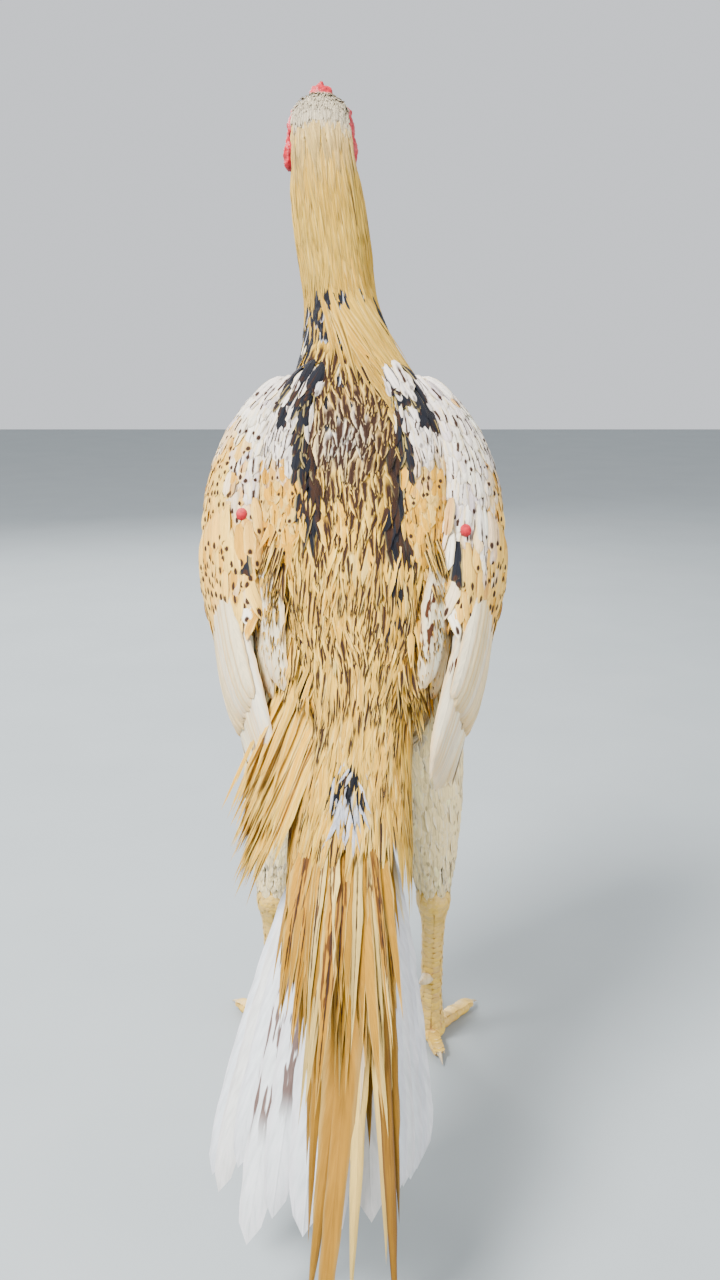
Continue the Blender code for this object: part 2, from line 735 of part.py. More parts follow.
def build_wing(torso, saddle, shoulder, thigh):
    """The folded wing without its coverts and flight feathers."""
    pad = closed_loft("wing_L", WING_FORM.skin, rows_between(0, WING_END, 8), 14)
    return carve(pad, *[room_for(near) for near in (torso, saddle, shoulder, thigh)])


def chord_angles(count, chord):
    """Angles round the wing, evenly spread over a stretch of its chord."""
    return [math.acos(chord[0] + (chord[1] - chord[0]) * k / (count - 1)) for k in range(count)]


def wing_coverts():
    made = []
    for s, count, length, half_width in COVERTS:
        for angle in chord_angles(count, COVERT_CHORD):
            made.append(lying_vane("covert", WING_FORM, s, angle, length * random.uniform(0.93, 1.07),
                                   COVERT_VANE, half_width, 1, (-0.0024, 0.0020, 0.0055), tilt=SHINGLE))
    return made


def flight_feathers():
    """Secondaries and primaries, folded like a fan: each lies under the one nearer the back."""
    made = []
    spread = zip(chord_angles(FLIGHTS, FLIGHT_ROOT_CHORD), chord_angles(FLIGHTS, FLIGHT_BEND_CHORD))
    for k, (root_angle, bend_angle) in enumerate(spread):
        share = k / (FLIGHTS - 1)
        root = WING_FORM.point(FLIGHT_ROOT, root_angle, 0.0010)
        bend = WING_FORM.point(FLIGHT_BEND, bend_angle, FLIGHT_LIFT)
        tip = WING_TIP_INNER.lerp(WING_TIP_OUTER, share)
        further = FLIGHT_REACH * math.sin(math.pi * share) + random.uniform(-0.003, 0.003)
        tip += (tip - bend).normalized() * further
        pull = bend * 2 - (root + tip) / 2
        points, normals = [], []
        for reach, _ in BROAD_VANE:
            angle = root_angle + (bend_angle - root_angle) * min(1.0, reach * 2)
            out = WING_FORM.normal(FLIGHT_ROOT + (FLIGHT_BEND - FLIGHT_ROOT) * reach, angle)
            place = root * (1 - reach) ** 2 + pull * (2 * reach * (1 - reach)) + tip * reach ** 2
            points.append(place - out * (0 if reach else FLIGHT_SUNK))
            normals.append(out)
        made.append(vane("flight_feather", points, normals, BROAD_VANE, FLIGHT_WIDTH, LARGE_VANE,
                         -SHINGLE * 1.5))
    return made


def tail_axes():
    """The way the tail points, and the way square to it and upwards."""
    pitch = math.radians(TAIL_PITCH)
    return Vector((0, math.cos(pitch), -math.sin(pitch))), Vector((0, math.sin(pitch), math.cos(pitch)))


def build_tail():
    """The fleshy root that carries the tail."""
    start, side, top = BODY.section(0)
    ahead, up = tail_axes()
    stations = [(start, side, top)]
    for far, half_width, half_depth in TAIL_CORE:
        stations.append((start + ahead * far, Vector((half_width, 0, 0)), up * half_depth))
    return closed_loft("tail", Tube(stations).skin, rows_between(SEAM * 3, 3, 5), 14)


def tail_root(far, height, aside):
    ahead, up = tail_axes()
    return TAIL_ROOT + ahead * far + up * height + Vector((aside, 0, 0))


def fan_feathers():
    """The broad feathers, each pair a step lower than the one before it, spread wider on the left."""
    made = []
    for pair in range(FAN_PAIRS):
        for side in (1, -1):
            yaw = side * (1.8 + FAN_SPREAD[side] * pair)
            height = -FAN_STEP * (2 * pair + (side < 0))
            root = tail_root(0.012, height, side * (0.002 + 0.0018 * pair))
            length = FAN_LENGTH - 0.010 * pair + random.uniform(-0.006, 0.006)
            made.append(hanging_vane("fan_feather", root, yaw, TAIL_PITCH + 1.2 * pair, TAIL_DROOP,
                                     length, BROAD_VANE, FAN_WIDTH, roll=side * 3 * max(0, pair - 2)))
    return made


def sickles_and_coverts():
    """The long curved feathers over the fan, and the shorter ones over their roots."""
    made = []
    for k, (yaw, length) in enumerate(SICKLES):
        root = tail_root(0.012, 0.0070 - 0.0016 * k, yaw * 0.0006)
        made.append(hanging_vane("sickle", root, yaw, TAIL_PITCH - 6, 26, length, SICKLE_VANE,
                                 SICKLE_WIDTH, sweep=-yaw * 0.6))
    for k, (yaw, length) in enumerate(TAIL_COVERTS):
        root = tail_root(0.008, 0.0110 - 0.0012 * k, yaw * 0.0007)
        made.append(hanging_vane("tail_covert", root, yaw, TAIL_PITCH - 7, 10, length, SICKLE_VANE,
                                 TAIL_COVERT_WIDTH, sweep=-yaw * 0.5))
    return made


def build_thigh(torso, saddle):
    limb = closed_loft("thigh_L", THIGH_FORM.skin, rows_between(0, 5, 9), 14)
    return carve(limb, room_for(torso), room_for(saddle))


def cut_level(obj):
    """Cuts off what lies below the floor and closes the flat."""
    bm = bmesh.new()
    bm.from_mesh(obj.data)
    bmesh.ops.bisect_plane(bm, geom=bm.verts[:] + bm.edges[:] + bm.faces[:], dist=WELD,
                           plane_co=(0, 0, 0), plane_no=(0, 0, -1), clear_outer=True)
    bmesh.ops.holes_fill(bm, edges=[e for e in bm.edges if e.is_boundary], sides=0)
    bmesh.ops.recalc_face_normals(bm, faces=bm.faces)
    bm.to_mesh(obj.data)
    bm.free()
    return obj


def scute_rows(start, end, count):
    """Two rows for each scute: its low upper edge and its raised lower edge."""
    rows = []
    for k in range(count):
        rows += [start + (end - start) * k / count, start + (end - start) * (k + 0.9) / count]
    return rows + [end]


def scute_rise(s, start, end, count, height):
    share = (s - start) / (end - start) * count
    return height * (share % 1.0) if 0 <= share < count else 0.0


def build_shank():
    """The bare shank with scutes down its front, and the pad under it."""
    def place(s, angle):
        front = max(0.0, -math.sin(angle))
        return SHANK_FORM.point(s, angle, front * scute_rise(s, *SHANK_SCUTES))

    start, end, count, _ = SHANK_SCUTES
    rows = rows_between(0, start, 3)[:-1] + scute_rows(start, end, count) + rows_between(end, 7, 3)[1:]
    return cut_level(closed_loft("shank_L", place, rows, 10))


def toe_form(degrees, length, root_radius, tip_radius, joints):
    """A toe with a pad under each joint, flat on the floor."""
    heading = math.radians(degrees)
    ahead = Vector((math.sin(heading), -math.cos(heading), 0))
    aside = Vector((0, 0, 1)).cross(ahead)
    stations = []
    for k in range(2 * joints + 1):
        share = k / (2 * joints)
        radius = root_radius + (tip_radius - root_radius) * share
        swell = 1.08 if k % 2 else 0.94
        centre = SOLE + ahead * (length * share) + Vector((0, 0, radius * 0.88))
        stations.append((centre, aside * (radius * swell), Vector((0, 0, radius * swell))))
    return Tube(stations), ahead, aside


def build_toes(shank):
    near = [room_for(shank)]
    made = []
    for name, sizes in TOES.items():
        form, ahead, aside = toe_form(*sizes)
        joints = sizes[4]

        def place(s, angle, form=form, joints=joints):
            above = max(0.0, math.sin(angle))
            return form.point(s, angle, above * scute_rise(s, 0.8, 2 * joints, joints + 1, TOE_SCUTE))

        rows = [0] + scute_rows(0.8, 2 * joints, joints + 1)
        toe = closed_loft(name + "_L", place, rows, 8)
        carve(cut_level(toe), *near)
        near.append(room_for(toe))
        tip, radius = form.section(form.last)[0], sizes[3]
        claw = build_claw(name, tip + ahead * GAP, ahead, aside, radius)
        made += [toe, claw]
    return made


def build_claw(name, root, ahead, aside, radius):
    """A claw that leaves the toe's end face and curves down to a point just over the floor."""
    stations = []
    for share in (0.0, 0.3, 0.65, 1.0):
        bend = math.radians(10 - 50 * share)
        slim = radius * 0.72 * (1 - 0.88 * share)
        rise = root.z + 0.0012 * math.sin(math.pi * share) - (root.z - 0.0016) * share * share
        centre = Vector((root.x, root.y, 0)) + ahead * (CLAW_LENGTH * share) + Vector((0, 0, rise))
        up = Vector((0, 0, math.cos(bend))) + ahead * (-math.sin(bend) if share else 0)
        stations.append((centre, aside * slim, up.normalized() * slim))
    form = Tube(stations)
    return closed_loft(name.replace("toe", "claw") + "_L", form.skin, rows_between(0, 3, 4), 6)


def build_spur(shank):
    """A horn spur on the inner back side of the shank."""
    root = SHANK_FORM.section(SPUR_STATION)[0] + SPUR_OFFSET
    ahead = SPUR_AXIS.normalized()
    aside = ahead.cross(Vector((0, 0, 1))).normalized()
    up = aside.cross(ahead).normalized()
    stations = []
    for share, radius in SPUR_SHAPE:
        centre = root + ahead * (SPUR_LENGTH * share) + Vector((0, 0, 0.004 * share * share))
        stations.append((centre, aside * radius, up * radius))
    spur = closed_loft("spur_L", Tube(stations).skin, rows_between(0, 3, 5), 8)
    return carve(spur, room_for(shank))


def main():
    clear_scene()
    model = new_collection("aseel_cock")
    new_collection("cutters")
    for name in MATERIALS:
        make_material(name)
    random.seed(7)

    torso, saddle, neck = build_torso(), build_saddle(), build_neck()
    head = build_head(neck)
    finish = {torso: "spotted_feather", saddle: "straw_feather", neck: "straw_feather",
              head: "bare_skin"}
    for beak in build_beak(head):
        finish[beak] = "horn"
    finish[build_comb(head)] = "bare_skin"
    flaps = build_face_flaps(head, neck)
    for flap in flaps:
        finish[flap] = "bare_skin"
    for side, letter in ((1, "L"), (-1, "R")):
        finish[build_eye(side, "eye_" + letter)] = "eye"

    thigh = build_thigh(torso, saddle)
    shoulder = build_shoulder(torso, saddle, neck)
    wing = build_wing(torso, saddle, shoulder, thigh)
    fuse(shoulder, trim(shoulder_feathers(), room_for(wing), room_for(torso)))
    shank = build_shank()
    left = {thigh: "straw_feather", shoulder: "spotted_feather", wing: "spotted_feather",
            shank: "shank_skin"}
    for piece in build_toes(shank):
        left[piece] = "horn" if "claw" in piece.name else "shank_skin"
    left[build_spur(shank)] = "horn"

    tail = fuse(build_tail(), fan_feathers() + sickles_and_coverts())
    finish[tail] = "golden_feather"
    shoulders = [room_for(shoulder), room_for(as_cutter(mirrored(shoulder, "shoulder_mirror")))]
    fuse(wing, trim(wing_coverts() + flight_feathers(), shoulders[0]))
    fuse(neck, trim(neck_hackles(), *shoulders))
    fuse(saddle, trim(saddle_hackles(), room_for(tail), *shoulders))

    for piece, material in left.items():
        finish[piece] = material
        finish[mirrored(piece, piece.name[:-1] + "R")] = material

    for cutter in list(bpy.data.collections["cutters"].objects):
        bpy.data.objects.remove(cutter)
    stance = bpy.data.objects.new("stance", None)
    stance.location = STANCE
    model.objects.link(stance)
    for piece, material in finish.items():
        finish_object(piece, material).parent = stance


main()
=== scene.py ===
import math

import bmesh
import bpy
import numpy as np
from mathutils import Matrix, Vector
from mathutils.kdtree import KDTree


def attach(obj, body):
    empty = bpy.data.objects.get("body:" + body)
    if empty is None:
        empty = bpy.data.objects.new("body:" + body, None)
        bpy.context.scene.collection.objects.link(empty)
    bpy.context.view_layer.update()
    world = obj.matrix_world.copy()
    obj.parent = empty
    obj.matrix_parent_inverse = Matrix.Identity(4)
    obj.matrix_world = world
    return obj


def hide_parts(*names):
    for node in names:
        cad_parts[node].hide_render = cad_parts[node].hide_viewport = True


# A life-size aseel cock that stands still: its skin, feathers, scales, horn and eyes
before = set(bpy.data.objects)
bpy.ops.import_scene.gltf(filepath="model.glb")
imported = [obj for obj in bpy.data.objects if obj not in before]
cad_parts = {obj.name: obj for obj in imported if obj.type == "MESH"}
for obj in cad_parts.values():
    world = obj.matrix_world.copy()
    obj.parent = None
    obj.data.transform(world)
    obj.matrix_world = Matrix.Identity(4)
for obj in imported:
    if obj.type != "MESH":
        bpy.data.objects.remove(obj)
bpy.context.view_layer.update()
RNG = np.random.default_rng(11)

# Where the bird stands: its forms below are given from a point between its hips
STANCE = np.array([0.0, -0.1547, 0.0])
LEAN = 0.023

# Trunk from the tail's root to the beak: back line and belly line (y, z), half width, side lean
TRUNK = [
    ((0.148, 0.322), (0.118, 0.283), 0.024, 0.000),
    ((0.128, 0.356), (0.072, 0.272), 0.046, 0.000),
    ((0.100, 0.400), (0.012, 0.284), 0.063, 0.000),
    ((0.070, 0.448), (-0.040, 0.320), 0.073, 0.000),
    ((0.044, 0.494), (-0.080, 0.378), 0.076, 0.000),
    ((0.026, 0.534), (-0.096, 0.440), 0.068, 0.000),
    ((0.012, 0.570), (-0.082, 0.508), 0.0405, 0.001),
    ((0.006, 0.608), (-0.060, 0.568), 0.0258, 0.008),
    ((0.005, 0.648), (-0.048, 0.622), 0.0250, 0.014),
    ((0.005, 0.683), (-0.043, 0.667), 0.0252, 0.019),
    ((0.003, 0.712), (-0.038, 0.701), 0.0245, 0.022),
    ((-0.001, 0.730), (-0.042, 0.696), 0.024, 0.023),
    ((-0.012, 0.740), (-0.048, 0.693), 0.0238, 0.023),
    ((-0.030, 0.743), (-0.054, 0.693), 0.0215, 0.023),
    ((-0.046, 0.739), (-0.060, 0.696), 0.0165, 0.023),
    ((-0.057, 0.730), (-0.064, 0.702), 0.0115, 0.023),
]
EGG = 0.10
# How the saddle's hackles lie, on past the rump over the tail's root
SADDLE_LIE = [
    ((0.044, 0.494), (-0.080, 0.378), 0.076, 0.000),
    ((0.070, 0.448), (-0.040, 0.320), 0.073, 0.000),
    ((0.100, 0.400), (0.012, 0.284), 0.063, 0.000),
    ((0.128, 0.356), (0.072, 0.272), 0.046, 0.000),
    ((0.157, 0.328), (0.108, 0.268), 0.037, 0.000),
    ((0.187, 0.296), (0.132, 0.236), 0.036, 0.001),
    ((0.214, 0.260), (0.158, 0.200), 0.036, 0.002),
    ((0.238, 0.222), (0.182, 0.164), 0.035, 0.003),
]
# Folded wing and shoulder on the trunk: trunk station, angle, lift, half chord, half thickness
WING = [
    (5.75, 24, 0.000, 0.012, 0.005), (5.45, 22, 0.005, 0.029, 0.0115), (4.80, 16, 0.011, 0.043, 0.0165),
    (4.00, 12, 0.016, 0.050, 0.0185), (3.20, 10, 0.017, 0.050, 0.0165), (2.40, 10, 0.017, 0.041, 0.0105),
    (1.70, 12, 0.018, 0.028, 0.0050), (1.10, 16, 0.021, 0.014, 0.0020),
]
SHOULDER = [
    (5.85, 55, -0.002, 0.009, 0.004), (5.50, 54, 0.000, 0.019, 0.007), (4.80, 51, 0.001, 0.024, 0.009),
    (4.00, 49, 0.001, 0.025, 0.009), (3.20, 48, 0.000, 0.021, 0.007), (2.60, 48, -0.001, 0.011, 0.004),
]
TRUNK_WRAP = 0.085
# Left leg: centre, half width, half depth
THIGH = [
    ((0.044, -0.010, 0.350), 0.026, 0.040), ((0.047, -0.004, 0.310), 0.032, 0.048),
    ((0.053, 0.006, 0.265), 0.030, 0.042), ((0.0585, 0.017, 0.220), 0.0235, 0.030),
    ((0.0615, 0.026, 0.180), 0.0165, 0.0195), ((0.0625, 0.030, 0.158), 0.0125, 0.0135),
]
SHANK = [
    ((0.0625, 0.030, 0.1577), 0.0125, 0.0135), ((0.0630, 0.030, 0.142), 0.0128, 0.0142),
    ((0.0635, 0.024, 0.122), 0.0092, 0.0104), ((0.0638, 0.014, 0.085), 0.0080, 0.0092),
    ((0.0640, 0.003, 0.045), 0.0084, 0.0094), ((0.0640, -0.003, 0.022), 0.0105, 0.0115),
    ((0.0640, -0.005, 0.008), 0.0130, 0.0110), ((0.0640, -0.005, 0.003), 0.0100, 0.0090),
]
SOLE = (0.0640, -0.005, 0.0)
# Toes: heading in degrees outwards from forwards, length, radius at the root and at the claw, joints
TOES = {
    "middle_toe": (3.0, 0.070, 0.0072, 0.0048, 4),
    "inner_toe": (-34.0, 0.052, 0.0068, 0.0048, 3),
    "outer_toe": (40.0, 0.054, 0.0066, 0.0046, 4),
    "back_toe": (170.0, 0.032, 0.0062, 0.0044, 2),
}
TOE_SCUTE = 0.0042
CLAW_LENGTH = 0.015
SPUR_STATION = 3.45
SPUR_LENGTH = 0.024
SPUR_OFFSET = np.array([-0.003, 0.005, 0.0])
SPUR_AXIS = np.array([-0.35, 0.93, 0.10])
SPUR_RISE = 0.004
SPUR_SHAPE = [(0.0, 0.0056), (0.35, 0.0042), (0.7, 0.0026), (1.0, 0.0006)]

# Head: places from the head's own middle plane, sizes as half axes
EYE = (0.0155, -0.0370, 0.7230)
EYE_RADIUS = 0.0072
EYE_AXIS = (1.0, -0.22, 0.05)
EAR = (0.0225, -0.012, 0.7170)
BROW = ((0.0165, -0.036, 0.7315), (0.006, 0.013, 0.0045))
CHEEK = ((0.0165, -0.030, 0.7090), (0.0065, 0.015, 0.011))
DEWLAP = ((0.0, -0.051, 0.6870), (0.004, 0.009, 0.014))
LOBE = ((0.0232, -0.016, 0.7005), (0.0036, 0.0070, 0.0120))
WATTLE = ((0.0165, -0.046, 0.6880), (0.0036, 0.0085, 0.0130))
UPPER_BEAK = [(-0.044, 0.7195, 0.0100, 0.0084), (-0.052, 0.7197, 0.0103, 0.0087),
              (-0.059, 0.7190, 0.0098, 0.0082), (-0.069, 0.7155, 0.0078, 0.0066),
              (-0.0775, 0.7080, 0.0050, 0.0042), (-0.0825, 0.6975, 0.0010, 0.0010)]
LOWER_BEAK = [(-0.044, 0.7068, 0.0086, 0.0056), (-0.052, 0.7068, 0.0093, 0.0060),
              (-0.060, 0.7058, 0.0088, 0.0058), (-0.068, 0.7046, 0.0064, 0.0046),
              (-0.0745, 0.7024, 0.0024, 0.0018)]
# Comb: where its back starts, its peas' spacing and number, its rows with their heights, half axes of
# its base, and the line of its foot along the head (y, z)
COMB_START = -0.0292
PEA_STEP = 0.0046
PEAS = 7
PEA_ROWS = ((-1, 0.0052), (0, 0.0090), (1, 0.0052))
COMB_BASE = (0.0086, 0.0062, 0.0052)
COMB_LINE = ([-0.061, -0.052, -0.044, -0.030], [0.7310, 0.7375, 0.7412, 0.7440])
# Folds of the bare skin: width, height, seed. They fade out round the eye between two distances
FOLDS = ((0.012, 0.00048, 3), (0.0055, 0.00022, 4))
FOLDS_FADE = (0.0085, 0.0130)
# Painted shade round the lids between two distances from the eye, and the ear's hole: radius, depth
LID_SHADE = (0.0070, 0.0090)
EAR_HOLE = (0.0026, 0.0030)
# Creases of the cheek: start, end, radius, depth
CREASES = (((0.012, -0.047, 0.7105), (0.021, -0.026, 0.7040), 0.0013, 0.0016),
           ((0.0215, -0.040, 0.7135), (0.0235, -0.024, 0.7165), 0.0010, 0.0008))
# Nostrils and the swelling behind them: place, radius, depth
NOSTRILS = (((0.0088, -0.0635, 0.7205), 0.0019, 0.0036), ((0.0092, -0.0560, 0.7225), 0.0050, -0.0006))
# Lids as rings round the eye: how far out, radius as a share of the eye's, thickness
LIDS = ((0.0040, 0.86, 0.0013), (0.0022, 1.22, 0.0017))

# Tail: its root, its slope below level and its feathers' droop in degrees, and its core: how far along,
# half width, half depth. Then the ends of the wing's quills, nearest the back and furthest from it
TAIL_ROOT = np.array([0.0, 0.136, 0.301])
TAIL_PITCH = 41.0
TAIL_DROOP = 14.0
TAIL_CORE = [(0.018, 0.021, 0.020), (0.036, 0.015, 0.014), (0.050, 0.004, 0.004)]
WING_TIP_INNER = np.array([0.051, 0.158, 0.300])
WING_TIP_OUTER = np.array([0.070, 0.108, 0.270])

# Colours of the plumage, the bare skin, the legs, the horn, the eyes, the floor and the sky
WHITE = (0.90, 0.84, 0.68)
# White as it looks in shade under a blue sky: painted shade, a darker blue-tinted copy of the white
SKY_SHADE_WHITE = (0.70, 0.76, 0.82)
CREAM = (0.88, 0.64, 0.20)
PALE_STRAW = (0.87, 0.52, 0.060)
STRAW = (0.82, 0.41, 0.022)
GOLD = (0.62, 0.28, 0.009)
OCHRE = (0.40, 0.195, 0.016)
RUST = (0.085, 0.026, 0.009)
LILAC = (0.60, 0.49, 0.52)
GREY = (0.30, 0.27, 0.25)
CROWN_GREY = (0.58, 0.52, 0.40)
BROWN = (0.040, 0.018, 0.010)
INK = (0.010, 0.011, 0.016)
RED = (0.56, 0.008, 0.022)
PINK = (0.58, 0.050, 0.060)
LEG_YELLOW = (0.70, 0.44, 0.055)
LEG_RUDDY = (0.62, 0.36, 0.13)
SCALE_RUDDY = (0.62, 0.40, 0.15)
SCALE_EDGE = (0.86, 0.74, 0.46)
HORN = (0.66, 0.52, 0.30)
HORN_TIP = (0.30, 0.20, 0.12)
PEARL = (0.50, 0.32, 0.16)
PEARL_SPOKE = (0.66, 0.56, 0.36)
PUPIL = (0.002, 0.002, 0.002)
IRIS_RIM = (0.10, 0.030, 0.020)
EYE_CORNER = (0.45, 0.05, 0.05)
FLOOR_TONES = ((0.27, 0.30, 0.31), (0.31, 0.34, 0.35))
SKY = (0.92, 0.95, 1.0)

SIDES = (1, -1)
LETTERS = ((1, "L"), (-1, "R"))
# The skin's detail: voxel size, its triangles, and the most in a coat piece
SKIN_VOXEL = 0.0013
SKIN_TRIANGLES = 150000
MOST_TRIANGLES = 190000
# The patch of one feather on the coat's unwrap
PATCH = 0.003
# Height of the hocks, where plumage ends and scales start
HOCK = (0.158, 0.166)
# Lamps: name, place, size and power, all turned to the middle of the bird
LAMPS = (("key", (1.2, 1.0, 2.3), 0.9, 230), ("fill", (-1.9, 1.4, 1.0), 1.6, 55),
         ("front", (0.6, -2.2, 1.6), 1.6, 75))
LIT_POINT = (0, 0, 0.42)
# Camera: place, how far it looks down in degrees, sensor in millimetres, and its focal length as a share
# of the frame's longer side
CAMERA_PLACE = (-0.005, 0.785, 0.590)
CAMERA_DIP = 14.5
SENSOR = 36.0
FOCAL_SHARE = 1255 / 1280

# Markings on the back: a white patch at the withers, and dark patches with their radii
WHITE_PATCH = (0.004, -0.1250, 0.5240)
DARK_PATCHES = [((0.005, -0.040, 0.377), 0.010), ((-0.0145, -0.0565, 0.400), 0.009),
                ((-0.021, -0.097, 0.463), 0.012)]
# The tail's fan in pairs from the middle outwards: headings and lengths on the left and on the right
FAN = [((3.0, 0.290), (-3.0, 0.276)), ((7.5, 0.284), (-5.0, 0.268)), ((13.5, 0.276), (-7.0, 0.262)),
       ((17.5, 0.292), (-8.5, 0.256)), ((23.5, 0.252), (-10.0, 0.252)), ((27.0, 0.268), (-11.5, 0.246)),
       ((30.5, 0.260), (-13.0, 0.240))]
# Long feathers of the middle tail: heading, length, half width, droop, sweep, how brown
SICKLES = [
    (-6.0, 0.370, 0.0054, 24, 3, 0.90), (-2.0, 0.395, 0.0095, 25, 16, 0.35),
    (-3.0, 0.325, 0.0080, 20, 8, 0.00), (0.0, 0.335, 0.0096, 21, 13, 0.20),
    (-6.5, 0.300, 0.0086, 20, 6, 0.00), (6.0, 0.290, 0.0062, 18, -2, 0.30),
    (-8.0, 0.280, 0.0070, 18, 5, 0.50), (1.4, 0.262, 0.0100, 17, 6, 0.25),
    (8.4, 0.250, 0.0060, 15, -6, 0.10), (-7.4, 0.250, 0.0066, 16, 4, 0.10),
    (3.8, 0.248, 0.0088, 16, -1, 0.00), (-3.4, 0.240, 0.0086, 15, 2, 0.20),
]


# Forms


def unit(v):
    """Vectors of length one."""
    return v / np.maximum(np.linalg.norm(v, axis=-1, keepdims=True), 1e-12)


def ramp(x, start, end):
    """A smooth step from 0 at start to 1 at end."""
    t = np.clip((np.asarray(x, float) - start) / (end - start), 0, 1)
    return t * t * (3 - 2 * t)


def mix(a, b, t):
    """Colours between a and b, one for each share in t."""
    t = np.asarray(t, float)[..., None]
    return np.asarray(a, float) * (1 - t) + np.asarray(b, float) * t


def mottle(points, size, seed):
    """Smooth random patches of about one size in space, mostly between -1 and 1."""
    rng = np.random.default_rng(seed)
    waves = unit(rng.normal(size=(9, 3))) * (math.tau / size) * rng.uniform(0.6, 1.5, (9, 1))
    return np.sin(points @ waves.T + rng.uniform(0, math.tau, 9)).sum(-1) / 3.2


class Tube:
    """A body of oval sections. Angle 0 is its side axis, and a quarter turn its top axis."""

    def __init__(self, stations, egg=0.0, wrap=0.0):
        table = np.array([[*centre, *side, *top] for centre, side, top in stations], float)
        self.rows = np.vstack([2 * table[0] - table[1], table, 2 * table[-1] - table[-2]])
        self.last = len(table) - 1
        self.egg = egg
        self.wrap = wrap

    def section(self, s):
        """Centre, side and top half axes on a smooth curve through the stations."""
        i = np.clip(np.floor(s).astype(int), 0, self.last - 1)
        t = (s - i)[..., None]
        a, b, c, d = (self.rows[i + k] for k in range(4))
        row = 0.5 * (2 * b + (c - a) * t + (2 * a - 5 * b + 4 * c - d) * t**2
                     + (3 * b - a - 3 * c + d) * t**3)
        return row[..., 0:3], row[..., 3:6], row[..., 6:9]

    def skin(self, s, angle):
        centre, side, top = self.section(s)
        up = np.sin(angle)[..., None]
        across = np.cos(angle)[..., None] * (1 + self.egg * up)
        sag = self.wrap * (side**2).sum(-1, keepdims=True) * across**2 / 2
        return centre + side * across + top * up - unit(top) * sag

    def normal(self, s, angle):
        step = 0.01
        along = self.skin(s + step, angle) - self.skin(s - step, angle)
        around = self.skin(s, angle + step) - self.skin(s, angle - step)
        out = unit(np.cross(around, along))
        facing = (out * (self.skin(s, angle) - self.section(s)[0])).sum(-1, keepdims=True)
        return out * np.where(facing < 0, -1, 1)

    def point(self, s, angle, lift=0.0):
        s, angle = np.broadcast_arrays(np.asarray(s, float), np.asarray(angle, float))
        return self.skin(s, angle) + self.normal(s, angle) * np.asarray(lift)[..., None]


def trunk_station(back, belly, half_width, lean):
    back = np.array([lean, *back]) + STANCE
    belly = np.array([lean, *belly]) + STANCE
    return (back + belly) / 2, (half_width, 0, 0), (back - belly) / 2


def leg_station(centre, half_width, half_depth):
    return STANCE + centre, (half_width, 0, 0), (0, half_depth, 0)


BODY = Tube([trunk_station(*row) for row in TRUNK], EGG)


def pad_station(s, degrees, lift, half_chord, half_thickness):
    """A section on the trunk's left side, its side axis towards the back and its top axis outwards."""
    s, angle = np.array(s, float), np.array(math.radians(degrees))
    chord = unit(BODY.skin(s, angle + 0.01) - BODY.skin(s, angle - 0.01))
    return BODY.point(s, angle, lift), chord * half_chord, BODY.normal(s, angle) * half_thickness


WING_FORM = Tube([pad_station(*row) for row in WING], wrap=1 / TRUNK_WRAP)
SHOULDER_FORM = Tube([pad_station(*row) for row in SHOULDER], wrap=1 / TRUNK_WRAP)
THIGH_FORM = Tube([leg_station(*row) for row in THIGH])
SHANK_FORM = Tube([leg_station(*row) for row in SHANK])
SADDLE_FORM = Tube([trunk_station(*row) for row in SADDLE_LIE], EGG)


def toe_form(degrees, length, root_radius, tip_radius, joints):
    """A toe with a pad under each joint, flat on the floor."""
    heading = math.radians(degrees)
    ahead = np.array([math.sin(heading), -math.cos(heading), 0])
    aside = np.array([-ahead[1], ahead[0], 0])
    stations = []
    for k in range(2 * joints + 1):
        share = k / (2 * joints)
        radius = root_radius + (tip_radius - root_radius) * share
        swell = radius * (1.08 if k % 2 else 0.94)
        centre = STANCE + SOLE + ahead * (length * share) + np.array([0, 0, radius * 0.88])
        stations.append((centre, aside * swell, (0, 0, swell)))
    return Tube(stations), ahead, aside


def beak_form(line):
    """A half of the beak along its middle line in the head's plane."""
    stations = []
    for k, (y, z, half_width, half_height) in enumerate(line):
        before, after = line[max(k - 1, 0)], line[min(k + 1, len(line) - 1)]
        ahead = unit(np.array([0, after[0] - before[0], after[1] - before[1]]))
        up = np.array([0, -ahead[2], ahead[1]])
        up = up if up[2] > 0 else -up
        stations.append((STANCE + [LEAN, y, z], (half_width, 0, 0), up * half_height))
    return Tube(stations)


def face_point(side, place):
    """A place of the head, on one side of its own middle plane."""
    return STANCE + [LEAN + side * place[0], place[1], place[2]]


# Meshes


def stand(name, data):
    """A new object in the scene."""
    obj = bpy.data.objects.new(name, data)
    bpy.context.scene.collection.objects.link(obj)
    return obj


def link(name, bm):
    """A new object in the scene that takes the bmesh over."""
    mesh = bpy.data.meshes.new(name)
    bm.to_mesh(mesh)
    bm.free()
    return stand(name, mesh)


def triangles(mesh):
    return sum(len(face.vertices) - 2 for face in mesh.polygons)


def soften(mesh):
    """Shades all faces as one smooth surface."""
    mesh.polygons.foreach_set("use_smooth", np.ones(len(mesh.polygons), bool))


def note(mesh, name, values):
    """Keeps a number or a colour on every vertex."""
    values = np.asarray(values, np.float32)
    if values.ndim > 1:
        layer = mesh.attributes.new(name, "FLOAT_COLOR", "POINT")
        full = np.column_stack([values, np.ones(len(values), np.float32)])
        layer.data.foreach_set("color", full.astype(np.float32).ravel())
    else:
        layer = mesh.attributes.new(name, "FLOAT", "POINT")
        layer.data.foreach_set("value", values)


def applied(obj):
    """The mesh of an object with its modifiers applied."""
    graph = bpy.context.evaluated_depsgraph_get()
    return bpy.data.meshes.new_from_object(obj.evaluated_get(graph))


